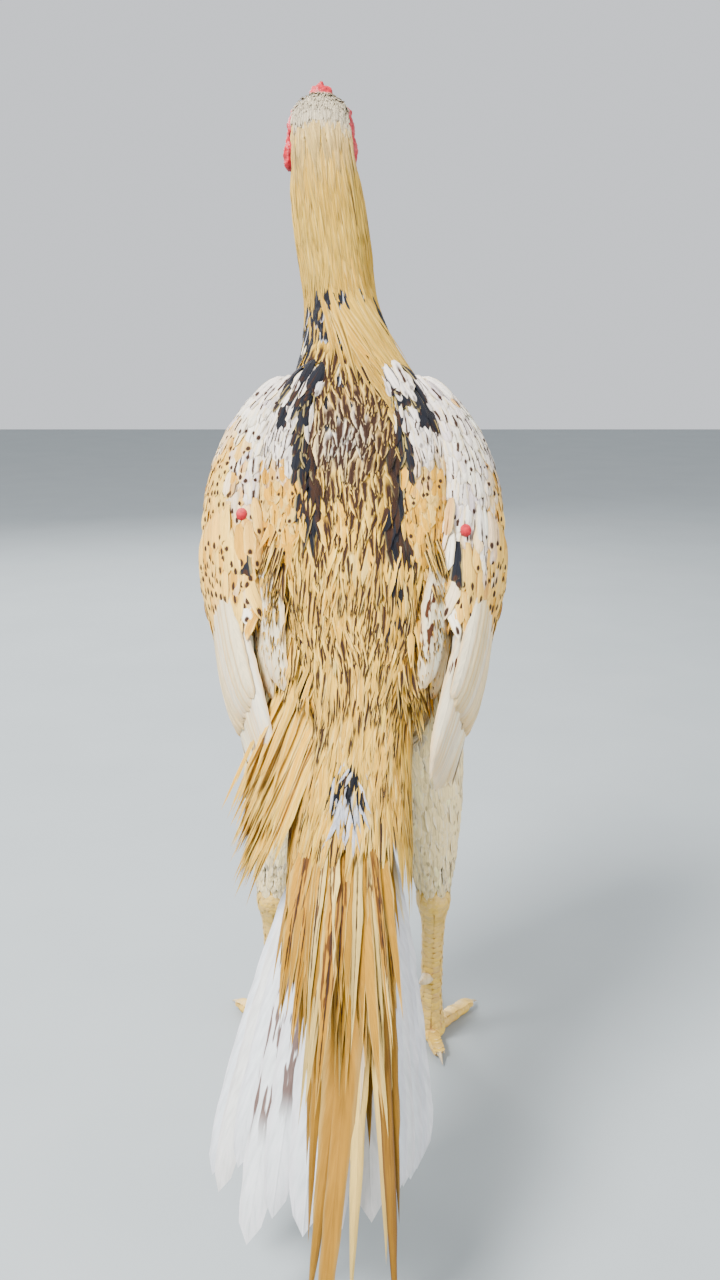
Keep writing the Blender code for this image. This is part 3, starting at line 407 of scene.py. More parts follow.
def roll_up(bm, form, start, end, around, along, lift=0.0, swell=1.0):
    """A sheet rolled round a form between two stations and closed at both ends."""
    sheet = bmesh.ops.create_grid(bm, x_segments=around, y_segments=along, size=0.5)["verts"]
    flat = np.array([v.co for v in sheet])
    s = start + (end - start) * (flat[:, 1] + 0.5)
    angle = (flat[:, 0] + 0.5) * math.tau
    centre = form.section(s)[0]
    depth = lift(s) if callable(lift) else np.full(len(s), lift)
    places = centre + (form.point(s, angle, depth) - centre) * swell
    for v, place in zip(sheet, places):
        v.co = place
    bmesh.ops.remove_doubles(bm, verts=sheet, dist=1e-6)
    made = {f for v in sheet if v.is_valid for f in v.link_faces}
    rim = [e for f in made for e in f.edges if e.is_boundary]
    caps = bmesh.ops.holes_fill(bm, edges=list(set(rim)), sides=0)["faces"]
    bmesh.ops.recalc_face_normals(bm, faces=list(made) + caps)


def ball(bm, centre, radii, segments=16, rings=10):
    shape = Matrix.Translation(Vector(centre)) @ Matrix.Diagonal((*radii, 1.0))
    bmesh.ops.create_uvsphere(bm, u_segments=segments, v_segments=rings, radius=1.0, matrix=shape)


def hoop(bm, centre, axis, radius, thickness, steps=28, sides=10):
    """A torus round an axis."""
    turn = Vector(axis).to_track_quat("Z", "Y").to_matrix().to_4x4()
    start = Matrix.Translation((radius, 0, 0)) @ Matrix.Rotation(math.pi / 2, 4, "X")
    rim = bmesh.ops.create_circle(bm, segments=sides, radius=thickness, matrix=start)["verts"]
    edges = list({e for v in rim for e in v.link_edges})
    before = set(bm.verts) - set(rim)
    bmesh.ops.spin(bm, geom=rim + edges, cent=(0, 0, 0), axis=(0, 0, 1), angle=math.tau,
                   steps=steps, use_merge=True)
    made = [v for v in bm.verts if v not in before]
    bmesh.ops.transform(bm, matrix=Matrix.Translation(Vector(centre)) @ turn, verts=made)
    bmesh.ops.recalc_face_normals(bm, faces=list({f for v in made for f in v.link_faces}))


# Feathers


class Vane:
    """One feather or scale as a thin closed lens: x across it, y along it, z through it."""

    def __init__(self, name, columns, rows, shaft=0.0):
        self.rows = rows
        bm = bmesh.new()
        bmesh.ops.create_grid(bm, x_segments=columns, y_segments=rows, size=0.5)
        bmesh.ops.solidify(bm, geom=bm.faces[:], thickness=0.1)
        middle = sum(v.co.z for v in bm.verts) / len(bm.verts)
        for v in bm.verts:
            x, y = round(v.co.x * 2, 4), round(v.co.y + 0.5, 4)
            x = math.copysign(abs(x) ** (1.35 if shaft else 1.0), x)
            rim = abs(x) > 0.999 or y < 0.001 or y > 0.999
            depth = (1 - shaft) * (1 - x * x) + shaft * math.exp(-((x / 0.10) ** 2))
            v.co = (0 if y > 0.999 else x, y, 0 if rim else math.copysign(depth, v.co.z - middle))
        bmesh.ops.remove_doubles(bm, verts=bm.verts, dist=1e-4)
        bmesh.ops.recalc_face_normals(bm, faces=bm.faces)
        for edge in bm.edges:
            edge.smooth = not all(abs(v.co.z) < 1e-6 for v in edge.verts)
        uv = bm.loops.layers.uv.new("Vane")
        for loop in (loop for f in bm.faces for loop in f.loops):
            loop[uv].uv = (loop.vert.co.x / 2 + 0.5, loop.vert.co.y)
        self.mesh = bpy.data.meshes.new(name)
        bm.to_mesh(self.mesh)
        bm.free()
        self.x, self.y, self.z = np.array([v.co for v in self.mesh.vertices]).T
        self.row = np.rint(self.y * rows).astype(int)
        spots = np.round(np.stack([self.x, self.y, self.z], 1), 4) + 0.0
        index = {tuple(spot): k for k, spot in enumerate(spots)}
        self.twin = [index[tuple(spot)] for spot in spots * [-1, 1, 1] + 0.0]


SMALL = Vane("small_vane", 2, 4)
HACKLE = Vane("hackle_vane", 2, 8)
COVERT = Vane("covert_vane", 4, 6)
QUILL = Vane("quill_vane", 8, 26, shaft=0.6)
PLUME = Vane("plume_vane", 6, 14, shaft=0.5)

# Outlines: the share of a feather's length, and its width there
BODY_SHAPE = ([0, 0.25, 0.5, 0.75, 1], [0.35, 0.8, 1.0, 0.9, 0])
HACKLE_SHAPE = ([0, 0.15, 0.4, 0.7, 0.9, 1], [0.4, 0.8, 1.0, 0.72, 0.32, 0])
COVERT_SHAPE = ([0, 0.2, 0.5, 0.8, 0.93, 1], [0.4, 0.75, 1.0, 0.95, 0.6, 0])
QUILL_SHAPE = ([0, 0.08, 0.3, 0.6, 0.85, 0.95, 0.985, 1], [0.12, 0.45, 0.85, 1.0, 0.92, 0.66, 0.38, 0])
SICKLE_SHAPE = ([0, 0.1, 0.3, 0.5, 0.75, 0.9, 1], [0.15, 0.5, 0.95, 1.0, 0.62, 0.26, 0])
BACK_SHAPE = ([0, 0.15, 0.4, 0.65, 0.85, 1], [0.4, 0.8, 1.0, 0.86, 0.46, 0])
LOOSE_SHAPE = ([0, 0.15, 0.4, 0.8, 0.95, 1], [0.4, 0.8, 1.0, 0.8, 0.4, 0])
SCALE_SHAPE = ([0, 0.25, 0.5, 0.75, 1], [0.8, 1.0, 1.0, 0.85, 0])


def scatter(form, stations, degrees, along, around, jitter=0.28):
    """Staggered rows of roots over a stretch of a form, evenly apart on its surface."""
    first, last = stations
    low, high = np.radians(degrees[0]), np.radians(degrees[1])
    fine = np.linspace(first, last, 200)
    line = form.skin(fine, np.full(200, (low + high) / 2))
    reach = np.concatenate([[0], np.cumsum(np.linalg.norm(np.diff(line, axis=0), axis=1))])
    s_all, angle_all = [], []
    for k, far in enumerate(np.arange(0, reach[-1], along)):
        s = np.interp(far, reach, fine)
        turn = np.linspace(low, high, 60)
        arc = form.skin(np.full(60, s), turn)
        length = np.concatenate([[0], np.cumsum(np.linalg.norm(np.diff(arc, axis=0), axis=1))])
        spots = np.arange((k % 2) * around / 2, length[-1], around)
        spots = spots + RNG.uniform(-jitter, jitter, len(spots)) * around
        angle_all.append(np.interp(spots, length, turn))
        pace = (last - first) / max(reach[-1], 1e-9)
        s_all.append(s + RNG.uniform(-jitter, jitter, len(spots)) * along * pace)
    s = np.clip(np.concatenate(s_all), min(first, last), max(first, last))
    return s, np.concatenate(angle_all)


def flow(form, s, angle, length, rows, heading, turn=0.0, droop=0.0):
    """Follows a form from each root: points and outward ways along every feather.

    Heading 1 runs towards more stations, a turn veers towards larger angles, and what runs past
    the form's end goes straight on and droops."""
    count = len(s)
    length = np.broadcast_to(length, count)
    turn = np.broadcast_to(turn, count)
    step = length / rows
    points, outs = [], []
    way = None
    for k in range(rows + 1):
        at = np.clip(s, -0.2, form.last + 0.2)
        inside = ((s >= -0.2) & (s <= form.last + 0.2))[:, None]
        place, out = form.skin(at, angle), form.normal(at, angle)
        if k:
            carried = points[-1] + way * step[:, None]
            place = np.where(inside, place, carried)
            out = np.where(inside, out, outs[-1])
            way = unit(place - points[-1])
            way = np.where(inside, way, unit(way + np.array([0, 0, -droop / rows])))
        else:
            way = np.zeros_like(place)
        points.append(place)
        outs.append(out)
        pace_s = np.linalg.norm(form.skin(at + 0.01, angle) - place, axis=-1) / 0.01
        pace_a = np.linalg.norm(form.skin(at, angle + 0.01) - place, axis=-1) / 0.01
        s = s + heading * np.cos(turn) * step / np.maximum(pace_s, 1e-3)
        angle = angle + np.sin(turn) * step / np.maximum(pace_a, 2e-3)
    return np.stack(points, 1), np.stack(outs, 1)


def lay(vane, path, out, width, shape, lifts, thick=0.0002, arch=0.14, roll=0.0, fray=0.0):
    """Bends one vane along each path and returns its vertices, feather by feather."""
    count = len(path)
    share = np.linspace(0, 1, vane.rows + 1)
    lift = np.interp(share, [0, 0.3, 1], lifts)[None, :] + RNG.normal(0, 0.00025, (count, 1))
    path = path + out * lift[..., None]
    ahead = np.gradient(path, axis=1)
    side = unit(np.cross(ahead, out))
    up = unit(np.cross(side, ahead))
    lean = np.broadcast_to(roll, count)[:, None, None]
    side, up = side * np.cos(lean) + up * np.sin(lean), up * np.cos(lean) - side * np.sin(lean)
    breadth = np.broadcast_to(width, count)[:, None] * np.interp(share, *shape)[None, :]
    wide = breadth[:, vane.row]
    torn = 1 - fray * RNG.random((count, len(vane.x))) * (np.abs(vane.x) > 0.9)
    across = vane.x * wide * torn
    rise = arch * wide * (1 - vane.x**2) + vane.z * thick
    return path[:, vane.row] + side[:, vane.row] * across[..., None] + up[:, vane.row] * rise[..., None]


class Coat:
    """Feathers of one kind gathered from several places into one piece."""

    def __init__(self, name, vane):
        self.name = name
        self.vane = vane
        self.parts = []

    def add(self, places, spots, ground, border, marks, patch=PATCH):
        """Places are the bent vanes, spots their roots on the skin's unwrap from 0 to 1."""
        count = len(places)
        tints = [np.broadcast_to(np.asarray(c, float), (count, 3)) for c in (ground, border, marks)]
        self.parts.append((places, np.asarray(spots), *tints, np.full(count, patch)))

    def build(self, finish, slot, *nodes):
        """Makes one piece, or a few where one would have too many triangles."""
        rows = [np.concatenate([part[k] for part in self.parts]) for k in range(6)]
        pieces = math.ceil(len(rows[0]) * triangles(self.vane.mesh) / MOST_TRIANGLES)
        for k, share in enumerate(np.array_split(np.arange(len(rows[0])), pieces)):
            name = f"{self.name}_{k + 1}" if pieces > 1 else self.name
            dress(self.stack(name, *(row[share] for row in rows)), finish, slot, *nodes)

    def stack(self, name, places, spots, ground, border, marks, patch):
        """All the feathers of one piece in one mesh."""
        count = len(places)
        stack = stand(name, self.vane.mesh)
        rows = stack.modifiers.new("feathers", "ARRAY")
        rows.use_relative_offset = False
        rows.count = count
        mesh = applied(stack)
        stack.modifiers.clear()
        stack.data = mesh
        mesh.name = name
        mesh.vertices.foreach_set("co", places.astype(np.float32).ravel())
        for label, values in (("Ground", ground), ("Border", border), ("Marks", marks)):
            note(mesh, label, np.repeat(values, len(self.vane.x), axis=0))
        lying = np.empty(len(mesh.loops) * 2, np.float32)
        mesh.uv_layers["Vane"].uv.foreach_get("vector", lying)
        lying = lying.reshape(count, -1, 2)
        baked = spots[:, None, :] + (lying - 0.5) * patch[:, None, None]
        bake = mesh.uv_layers.new(name="OFBake")
        bake.uv.foreach_set("vector", baked.astype(np.float32).ravel())
        soften(mesh)
        mesh.update()
        return stack


def dress(obj, finish, slot, *nodes):
    """Gives a piece its finish, its body and the nodes that it stands for; the slot is not used."""
    obj.data.materials.clear()
    obj.data.materials.append(finish)
    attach(obj, "root")
    if nodes:
        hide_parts(*nodes)


def cell(column, columns, across, along):
    """Spots in one upright strip of the unwrap: shares across and along it, from 0 to 1."""
    u = (column + 0.04 + 0.92 * np.clip(across, 0, 1)) / columns
    return np.stack([u, 0.02 + 0.96 * np.clip(along, 0, 1)], -1)


def own_side(places, side, vane):
    """The feathers as they are on the left, or mirrored to the right."""
    return places if side > 0 else places[:, vane.twin] * [-1, 1, 1]


# Materials


class Finish:
    """A node material, with short ways to add its nodes."""

    def __init__(self, name):
        self.material = bpy.data.materials.new(name)
        self.material.use_nodes = True
        self.tree = self.material.node_tree
        self.shader = self.tree.nodes["Principled BSDF"]

    def node(self, kind, **sockets):
        made = self.tree.nodes.new("ShaderNode" + kind)
        for name, value in sockets.items():
            if hasattr(made, name):
                setattr(made, name, value)
            else:
                self.plug(made.inputs[name.replace("_", " ")], value)
        return made

    def plug(self, socket, value):
        if isinstance(value, bpy.types.NodeSocket):
            self.tree.links.new(value, socket)
        else:
            socket.default_value = value

    def sum(self, operation, *values):
        made = self.tree.nodes.new("ShaderNodeMath")
        made.operation = operation
        for socket, value in zip(made.inputs, values):
            self.plug(socket, value)
        return made.outputs[0]

    def times(self, a, b):
        return self.sum("MULTIPLY", a, b)

    def plus(self, a, b):
        return self.sum("ADD", a, b)

    def less(self, a, b):
        return self.sum("SUBTRACT", a, b)

    def scaled(self, value, scale, shift):
        return self.sum("MULTIPLY_ADD", value, scale, shift)

    def step(self, value, start, end):
        made = self.tree.nodes.new("ShaderNodeMapRange")
        made.interpolation_type = "SMOOTHSTEP"
        for name, number in (("Value", value), ("From Min", start), ("From Max", end)):
            self.plug(made.inputs[name], number)
        return made.outputs[0]

    def blend(self, share, a, b, kind="MIX"):
        made = self.tree.nodes.new("ShaderNodeMix")
        made.data_type = "RGBA"
        made.blend_type = kind
        self.plug(made.inputs[0], share)
        self.plug(made.inputs[6], a if isinstance(a, bpy.types.NodeSocket) else (*a, 1))
        self.plug(made.inputs[7], b if isinstance(b, bpy.types.NodeSocket) else (*b, 1))
        return made.outputs[2]

    def noise(self, coordinates, scale, detail=3.0, roughness=0.55):
        made = self.node("TexNoise", Vector=coordinates, Scale=scale, Detail=detail, Roughness=roughness)
        return made.outputs[0]

    def spread(self, x, y, z=0.0):
        made = self.tree.nodes.new("ShaderNodeCombineXYZ")
        for socket, value in zip(made.inputs, (x, y, z)):
            self.plug(socket, value)
        return made.outputs[0]

    def parts(self, vector):
        made = self.tree.nodes.new("ShaderNodeSeparateXYZ")
        self.plug(made.inputs[0], vector)
        return made.outputs

    def layer(self, name, kind="Color"):
        made = self.tree.nodes.new("ShaderNodeAttribute")
        made.attribute_name = name
        return made.outputs[kind]

    def place(self):
        return self.tree.nodes.new("ShaderNodeTexCoord").outputs["Object"]

    def bump(self, height, distance, strength=1.0):
        made = self.node("Bump", Height=height, Strength=strength, Distance=distance)
        self.plug(self.shader.inputs["Normal"], made.outputs[0])

    def surface(self, **values):
        for name, value in values.items():
            self.plug(self.shader.inputs[name.replace("_", " ")], value)
        return self.material


def feather_finish(name, barbs, streak_width=0.16, roughness=0.62):
    """Vanes with a shaft, barbs that part in clumps, a dark streak, a spot and a border."""
    finish = Finish(name)
    lying = finish.node("UVMap", uv_map="Vane").outputs[0]
    u, v, _ = finish.parts(lying)
    across = finish.sum("ABSOLUTE", finish.scaled(u, 2.0, -1.0))
    ground, border, marks = (finish.layer(n) for n in ("Ground", "Border", "Marks"))
    streak, spot, blotch = finish.parts(marks)
    place = finish.place()
    clumps = finish.noise(finish.spread(finish.times(across, 2.2),
                                        finish.scaled(across, -3.0,
                                                   finish.times(v, barbs * 0.16)),
                                        finish.times(finish.parts(place)[0], 90.0)), 1.0)
    loose = finish.scaled(clumps, 0.5, -0.25)
    ragged = finish.plus(across, loose)
    tone = finish.blend(finish.step(ragged, 0.50, 0.92), ground, border)
    tip = finish.step(finish.plus(v, loose), 0.86, 1.0)
    tone = finish.blend(finish.times(tip, 0.7), tone, border)
    long = finish.spread(finish.times(u, 5.0), finish.times(v, 8.0),
                         finish.times(finish.parts(place)[0], 30.0))
    streaks = finish.step(finish.scaled(across, -0.16, finish.noise(long, 1.0, 2.0)), 0.44, 0.49)
    middle = finish.less(finish.step(v, 0.30, 0.42), finish.step(v, 0.74, 0.82))
    rust = finish.times(finish.times(streaks, middle), blotch)
    tone = finish.blend(rust, tone, RUST)
    breadth = finish.scaled(streak, 1.3, 0.3)
    line = finish.less(1.0, finish.step(finish.sum("DIVIDE", ragged, breadth), streak_width * 0.5,
                                                   streak_width * 1.6))
    reach = finish.times(finish.step(v, 0.25, 0.55),
                       finish.less(1.0, finish.step(v, 0.93, 1.0)))
    bold = finish.times(finish.times(line, reach), finish.step(streak, 0.05, 0.5))
    tone = finish.blend(bold, tone, BROWN)
    off = finish.less(v, 0.84)
    along = finish.times(off, finish.times(off, 22.0))
    round_off = finish.sum("SQRT", finish.plus(along, finish.times(across, across)))
    dot = finish.less(1.0, finish.step(finish.plus(round_off, loose), 0.26, 0.46))
    tone = finish.blend(finish.times(dot, spot), tone, BROWN)
    shade = finish.scaled(clumps, 0.7, 0.62)
    tone = finish.blend(1.0, tone, finish.spread(shade, shade, shade), "MULTIPLY")
    slant = finish.scaled(across, -0.10, v)
    ribs = finish.sum("SINE", finish.times(slant, barbs * math.tau))
    height = finish.plus(finish.times(ribs, 0.3), clumps)
    shaft = finish.less(1.0, finish.step(across, 0.02, 0.09))
    finish.bump(finish.plus(height, shaft), 0.0003)
    return finish.surface(Base_Color=tone, Roughness=roughness, Sheen_Weight=0.03, Sheen_Roughness=0.4,
                          Specular_IOR_Level=0.12)


FEATHER = feather_finish("small_feather", 34)
HACKLE_FINISH = feather_finish("hackle_feather", 60, streak_width=0.42, roughness=0.5)
QUILL_FINISH = feather_finish("quill_feather", 170, streak_width=0.12, roughness=0.55)


def scale_finish():
    """Horny yellow scales with a ruddy edge and a faint polish."""
    finish = Finish("leg_scale")
    place = finish.place()
    lying = finish.node("UVMap", uv_map="Vane").outputs[0]
    v = finish.parts(lying)[1]
    patches = finish.noise(place, 140.0)
    tone = finish.blend(finish.step(patches, 0.35, 0.7), finish.layer("Ground"), finish.layer("Border"))
    tone = finish.blend(finish.times(finish.step(v, 0.75, 1.0), 0.5), tone, SCALE_EDGE)
    finish.bump(finish.noise(place, 900.0), 0.0002)
    return finish.surface(Base_Color=tone, Roughness=0.42, Coat_Weight=0.15, Coat_Roughness=0.35)


def skin_finish(name, bumps, roughness, relief):
    """Skin that takes its colour from the coat above it, or bare and pebbled."""
    finish = Finish(name)
    place = finish.place()
    fine = finish.node("TexVoronoi", Vector=place, Scale=bumps, feature="SMOOTH_F1").outputs[0]
    broad = finish.noise(place, bumps * 0.22, 4.0)
    shade = finish.scaled(broad, 0.6, 0.66)
    tone = finish.blend(1.0, finish.layer("Tone"), finish.spread(shade, shade, shade), "MULTIPLY")
    finish.bump(finish.plus(fine, broad), relief)
    return finish.surface(Base_Color=tone, Roughness=roughness, Subsurface_Weight=0.06,
                          Subsurface_Scale=0.004)


def horn_finish():
    """Horn with faint growth lines along it and a darker tip."""
    finish = Finish("pale_horn")
    place = finish.place()
    stretched = finish.node("Mapping", Vector=place, Scale=(420.0, 60.0, 60.0)).outputs[0]
    lines = finish.noise(stretched, 1.0, 4.0)
    tip = finish.layer("Tip", "Fac")
    tone = finish.blend(finish.step(lines, 0.35, 0.7), HORN, tuple(0.72 * c for c in HORN))
    tone = finish.blend(finish.times(finish.step(tip, 0.55, 1.0), 0.55), tone, HORN_TIP)
    finish.bump(lines, 0.00025)
    return finish.surface(Base_Color=tone, Roughness=0.34, Coat_Weight=0.25, Coat_Roughness=0.2)


def eye_finish():
    """A pearl iris with fine spokes round a black pupil, under a wet gloss."""
    finish = Finish("pearl_eye")
    out = finish.layer("Off", "Fac")
    place = finish.place()
    spokes = finish.noise(place, 1500.0, 3.0)
    pearl = finish.blend(finish.step(spokes, 0.35, 0.7), PEARL_SPOKE, PEARL)
    tone = finish.blend(finish.step(out, 0.31, 0.36), PUPIL, pearl)
    tone = finish.blend(finish.step(out, 0.78, 0.90), tone, IRIS_RIM)
    tone = finish.blend(finish.step(out, 1.02, 1.2), tone, EYE_CORNER)
    return finish.surface(Base_Color=tone, Roughness=0.10, Coat_Weight=0.3, Coat_Roughness=0.02)


# Where the bare face ends: heights over the floor, and how far back the line lies there
FEATHER_LINE = ([0.654, 0.679, 0.704, 0.724, 0.735, 0.747],
                [-0.042, -0.014, -0.002, -0.006, -0.022, -0.033])
CHIN = 0.664
SPOT_RADIUS = 0.0055
SPOT_CLEAR = 0.0068
# Bare red spots on the wings
SPOTS = {1: WING_FORM.point(3.75, math.radians(15), 0.0025),
         -1: WING_FORM.point(4.00, math.radians(17), 0.0025) * [-1, 1, 1]}


def bareness(points):
    """1 on the bare red face and comb, 0 on the feathered head and neck."""
    own = points - STANCE
    line = np.interp(own[..., 2], *FEATHER_LINE)
    face = ramp(line - own[..., 1], -0.0015, 0.0025) * ramp(own[..., 2], CHIN - 0.012, CHIN)
    return np.maximum(face, ramp(own[..., 2], 0.7438, 0.7452))


def near(points, place, radius):
    """1 at a place, fading over a radius."""
    return np.exp(-((points - np.asarray(place)) ** 2).sum(-1) / radius**2)


# Skin


def both_sides(bm, before):
    """Copies what was added since to the bird's right."""
    made = [f for f in bm.faces if f not in before]
    geom = list({v for f in made for v in f.verts}) + list({e for f in made for e in f.edges}) + made
    twin = bmesh.ops.duplicate(bm, geom=geom)["geom"]
    bmesh.ops.scale(bm, vec=(-1, 1, 1), verts=[v for v in twin if isinstance(v, bmesh.types.BMVert)])
    bmesh.ops.reverse_faces(bm, faces=[f for f in twin if isinstance(f, bmesh.types.BMFace)])


def tail_form():
    """The fleshy root that carries the tail."""
    start, side, top = (v.reshape(3) for v in BODY.section(np.array([0.0])))
    ahead, up = tail_axes()
    stations = [(start, side, top)]
    for far, half_width, half_depth in TAIL_CORE:
        stations.append((start + ahead * far, (half_width, 0, 0), up * half_depth))
    return Tube(stations)


def tail_axes():
    pitch = math.radians(TAIL_PITCH)
    return np.array([0, math.cos(pitch), -math.sin(pitch)]), np.array([0, math.sin(pitch), math.cos(pitch)])


def coat_depth(s):
    """How deep the skin lies under the coat: nothing on the bare face."""
    return -0.0028 * (1 - ramp(s, 9.6, 10.8))


def skin_forms():
    """Everything fleshy as closed, overlapping forms."""
    bm = bmesh.new()
    roll_up(bm, BODY, 0.02, 14.95, 44, 90, coat_depth)
    roll_up(bm, tail_form(), 0.0, 3.0, 24, 12, swell=0.9)
    ball(bm, face_point(1, DEWLAP[0]), DEWLAP[1])
    for side in SIDES:
        for centre, radii in (BROW, CHEEK, LOBE, WATTLE):
            ball(bm, face_point(side, centre), radii)
        out = unit(np.array(EYE_AXIS) * [side, 1, 1])
        for far, share, thickness in LIDS:
            hoop(bm, face_point(side, EYE) + out * far, out, EYE_RADIUS * share, thickness)
        hoop(bm, face_point(side, EAR), (side, 0.15, 0), 0.0044, 0.0013, 20, 8)
    for k in range(PEAS):
        back = COMB_START - PEA_STEP * k
        foot = face_point(1, (0, back, np.interp(back, *COMB_LINE)))
        ball(bm, foot, COMB_BASE, 20, 12)
        for row, tallest in PEA_ROWS:
            tall = tallest * (1 - 0.10 * abs(k - PEAS // 2)) * RNG.uniform(0.9, 1.1)
            ball(bm, foot + [row * 0.0054, 0, tall * 0.42], (0.0027, 0.0026, tall), 10, 8)
    left = set(bm.faces)
    roll_up(bm, WING_FORM, 0.1, 6.6, 28, 40, swell=0.86)
    roll_up(bm, SHOULDER_FORM, 0.1, 5.0, 24, 24, swell=0.84)
    roll_up(bm, THIGH_FORM, 0.0, 5.0, 28, 24, -0.0016)
    roll_up(bm, SHANK_FORM, -0.05, 7.0, 28, 60)
    for sizes in TOES.values():
        roll_up(bm, toe_form(*sizes)[0], 0.0, 2.0 * sizes[4], 18, 10 * sizes[4])
    ball(bm, STANCE + SOLE + np.array([0, 0, 0.0075]), (0.0135, 0.0140, 0.0070))
    both_sides(bm, left)
    for place in SPOTS.values():
        ball(bm, place, (0.0046, 0.0050, 0.0050))
    return link("skin", bm)


def push(places, normals, centre, radius, depth):
    """Presses a hollow into the skin round a place, or raises it."""
    share = np.exp(-((places - centre) ** 2).sum(-1) / radius**2)
    return places - normals * (depth * share)[:, None]


def crease(places, normals, start, end, radius, depth):
    """Presses a line into the skin."""
    way = end - start
    along = np.clip(((places - start) @ way) / (way @ way), 0, 1)
    share = np.exp(-((places - start - along[:, None] * way) ** 2).sum(-1) / radius**2)
    return places - normals * (depth * share)[:, None]


def vertex_rows(mesh):
    places = np.empty(len(mesh.vertices) * 3)
    mesh.vertices.foreach_get("co", places)
    normals = np.empty(len(mesh.vertices) * 3)
    mesh.vertex_normals.foreach_get("vector", normals)
    return places.reshape(-1, 3), normals.reshape(-1, 3)


def shape_face(places, normals):
    """Folds and wrinkles of the red face."""
    bare = bareness(places)
    for side in SIDES:
        bare = bare * ramp(np.linalg.norm(places - face_point(side, EYE), axis=1), *FOLDS_FADE)
        places = push(places, normals, face_point(side, EAR), *EAR_HOLE)
        for start, end, radius, depth in CREASES:
            places = crease(places, normals, face_point(side, start), face_point(side, end), radius, depth)
    folds = 0
    for size, tall, seed in FOLDS:
        folds = folds + tall * (1 - 2 * np.abs(mottle(places * [1, 1, 1.6], size, seed)))
    return places + normals * (folds * bare)[:, None]


def build_skin(coats):
    """One closed skin under the whole coat, with the same markings as the coat over it."""
    raw = skin_forms()
    voxels = raw.modifiers.new("one_skin", "REMESH")
    voxels.mode = "VOXEL"
    voxels.voxel_size = SKIN_VOXEL
    even = raw.modifiers.new("even", "SMOOTH")
    even.factor = 0.5
    even.iterations = 4
    mesh = applied(raw)
    places, normals = vertex_rows(mesh)
    places = shape_face(places, normals)
    places[:, 2] = np.maximum(places[:, 2], 0.0002)
    mesh.vertices.foreach_set("co", places.ravel())
    mesh.update()
    raw.modifiers.clear()
    raw.data = mesh
    keep = raw.vertex_groups.new(name="fine")
    fine = np.where((places[:, 2] > CHIN) | (places[:, 2] < 0.02))[0]
    keep.add(fine.tolist(), 1.0, "REPLACE")
    fewer = raw.modifiers.new("fewer", "DECIMATE")
    fewer.ratio = min(1.0, SKIN_TRIANGLES / triangles(mesh))
    fewer.vertex_group = "fine"
    fewer.invert_vertex_group = True
    fewer.vertex_group_factor = 4.0
    mesh = applied(raw)
    raw.modifiers.clear()
    raw.vertex_groups.clear()
    raw.data = mesh
    mesh.name = "skin"
    colour_skin(mesh, coats)
    soften(mesh)
    dress(raw, UNDERCOAT, "body_feather", *FLESH)
    for finish in (FACE_SKIN, LEG_SKIN):
        mesh.materials.append(finish)
    middles = np.empty(len(mesh.polygons) * 3)
    mesh.polygons.foreach_get("center", middles)
    middles = middles.reshape(-1, 3)
    kind = np.where(middles[:, 2] < 0.160, 2, np.where(bareness(middles) > 0.2, 1, 0))
    mesh.polygons.foreach_set("material_index", kind.astype(np.int32))
    mesh.update()
    return raw


def colour_skin(mesh, coats):
    """The colour of the nearest feather a fifth darker as painted shade under the coat, red on the face and
    spots with painted shade in its folds and round the eyes, and yellow on the legs.
    """
    places, _ = vertex_rows(mesh)
    parts = [(part, coat.vane.row == 1) for coat in coats for part in coat.parts]
    roots = np.concatenate([part[0][:, near_root].mean(1) for part, near_root in parts])
    tones = np.concatenate([part[2] for part, _ in parts])
    tree = KDTree(len(roots))
    for k, root in enumerate(roots):
        tree.insert(root, k)
    tree.balance()
    # A fifth darker than the feather above: painted shade under the coat
    tone = np.array([tones[tree.find(place)[1]] for place in places]) * 0.8
    red = mix(RED, PINK, ramp(mottle(places, 0.012, 21), -0.2, 0.9))
    # Painted shade in the grooves of the finer folds, and round the lids, darkens the red
    deep = np.clip(np.abs(mottle(places * [1, 1, 1.6], 0.0055, 4)), 0, 1)
    for side in SIDES:
        off = np.linalg.norm(places - face_point(side, EYE), axis=1)
        deep = np.maximum(deep, 1.6 * (1 - ramp(off, *LID_SHADE)))
    red = red * (1 - 0.42 * deep)[:, None]
    bare = ramp(bareness(places), 0.0, 0.3)
    for place in SPOTS.values():
        bare = np.maximum(bare, ramp(near(places, place, SPOT_RADIUS * 1.6), 0.2, 0.5))
    tone = tone * (1 - bare)[:, None] + red * bare[:, None]
    leg = mix(LEG_YELLOW, LEG_RUDDY, ramp(mottle(places, 0.02, 22), 0, 1))
    low = (1 - ramp(places[:, 2], *HOCK))[:, None]
    tone = tone * (1 - low) + leg * low
    note(mesh, "Tone", tone)


UNDERCOAT = skin_finish("undercoat_skin", 500.0, 0.85, 0.0003)
FACE_SKIN = skin_finish("face_skin", 900.0, 0.48, 0.0004)
LEG_SKIN = skin_finish("leg_skin", 1100.0, 0.55, 0.0003)
FLESH = ["head", "neck", "torso", "saddle", "tail", "comb"]
PAIRED = ("shoulder", "wing", "thigh", "shank", "earlobe", "wattle", *TOES)
FLESH += [part + "_" + letter for _, letter in LETTERS for part in PAIRED]


# Plumage


def shares(values):
    """Values as shares from 0 to 1 of their own range."""
    values = np.asarray(values, float)
    return (values - values.min()) / max(np.ptp(values), 1e-9)


def between(low, high, s):
    """A random number between two for every feather."""
    return RNG.uniform(low, high, len(s))


def about(spread, s):
    """A random number about nought for every feather."""
    return RNG.normal(0, spread, len(s))


def cloudy(roots, level, size, seed, contrast=0.35):
    """A share for each feather that changes softly from place to place."""
    return np.clip(level + contrast * mottle(roots, size, seed), 0, 1)


def plot(column, columns, along, across):
    """Spots in one strip of the unwrap from stations and angles, or from any two rows of values."""
    return cell(column, columns, shares(across), shares(along))


def vary(colours, amount):
    """Colours a little lighter or darker from feather to feather."""
    colours = np.atleast_2d(colours)
    return np.clip(colours * (1 + RNG.normal(0, amount, (len(colours), 1))), 0, 0.95)


def marks(streak, spot, rust=0.0):
    return np.stack(np.broadcast_arrays(*map(np.asarray, (streak, spot, rust))), -1)


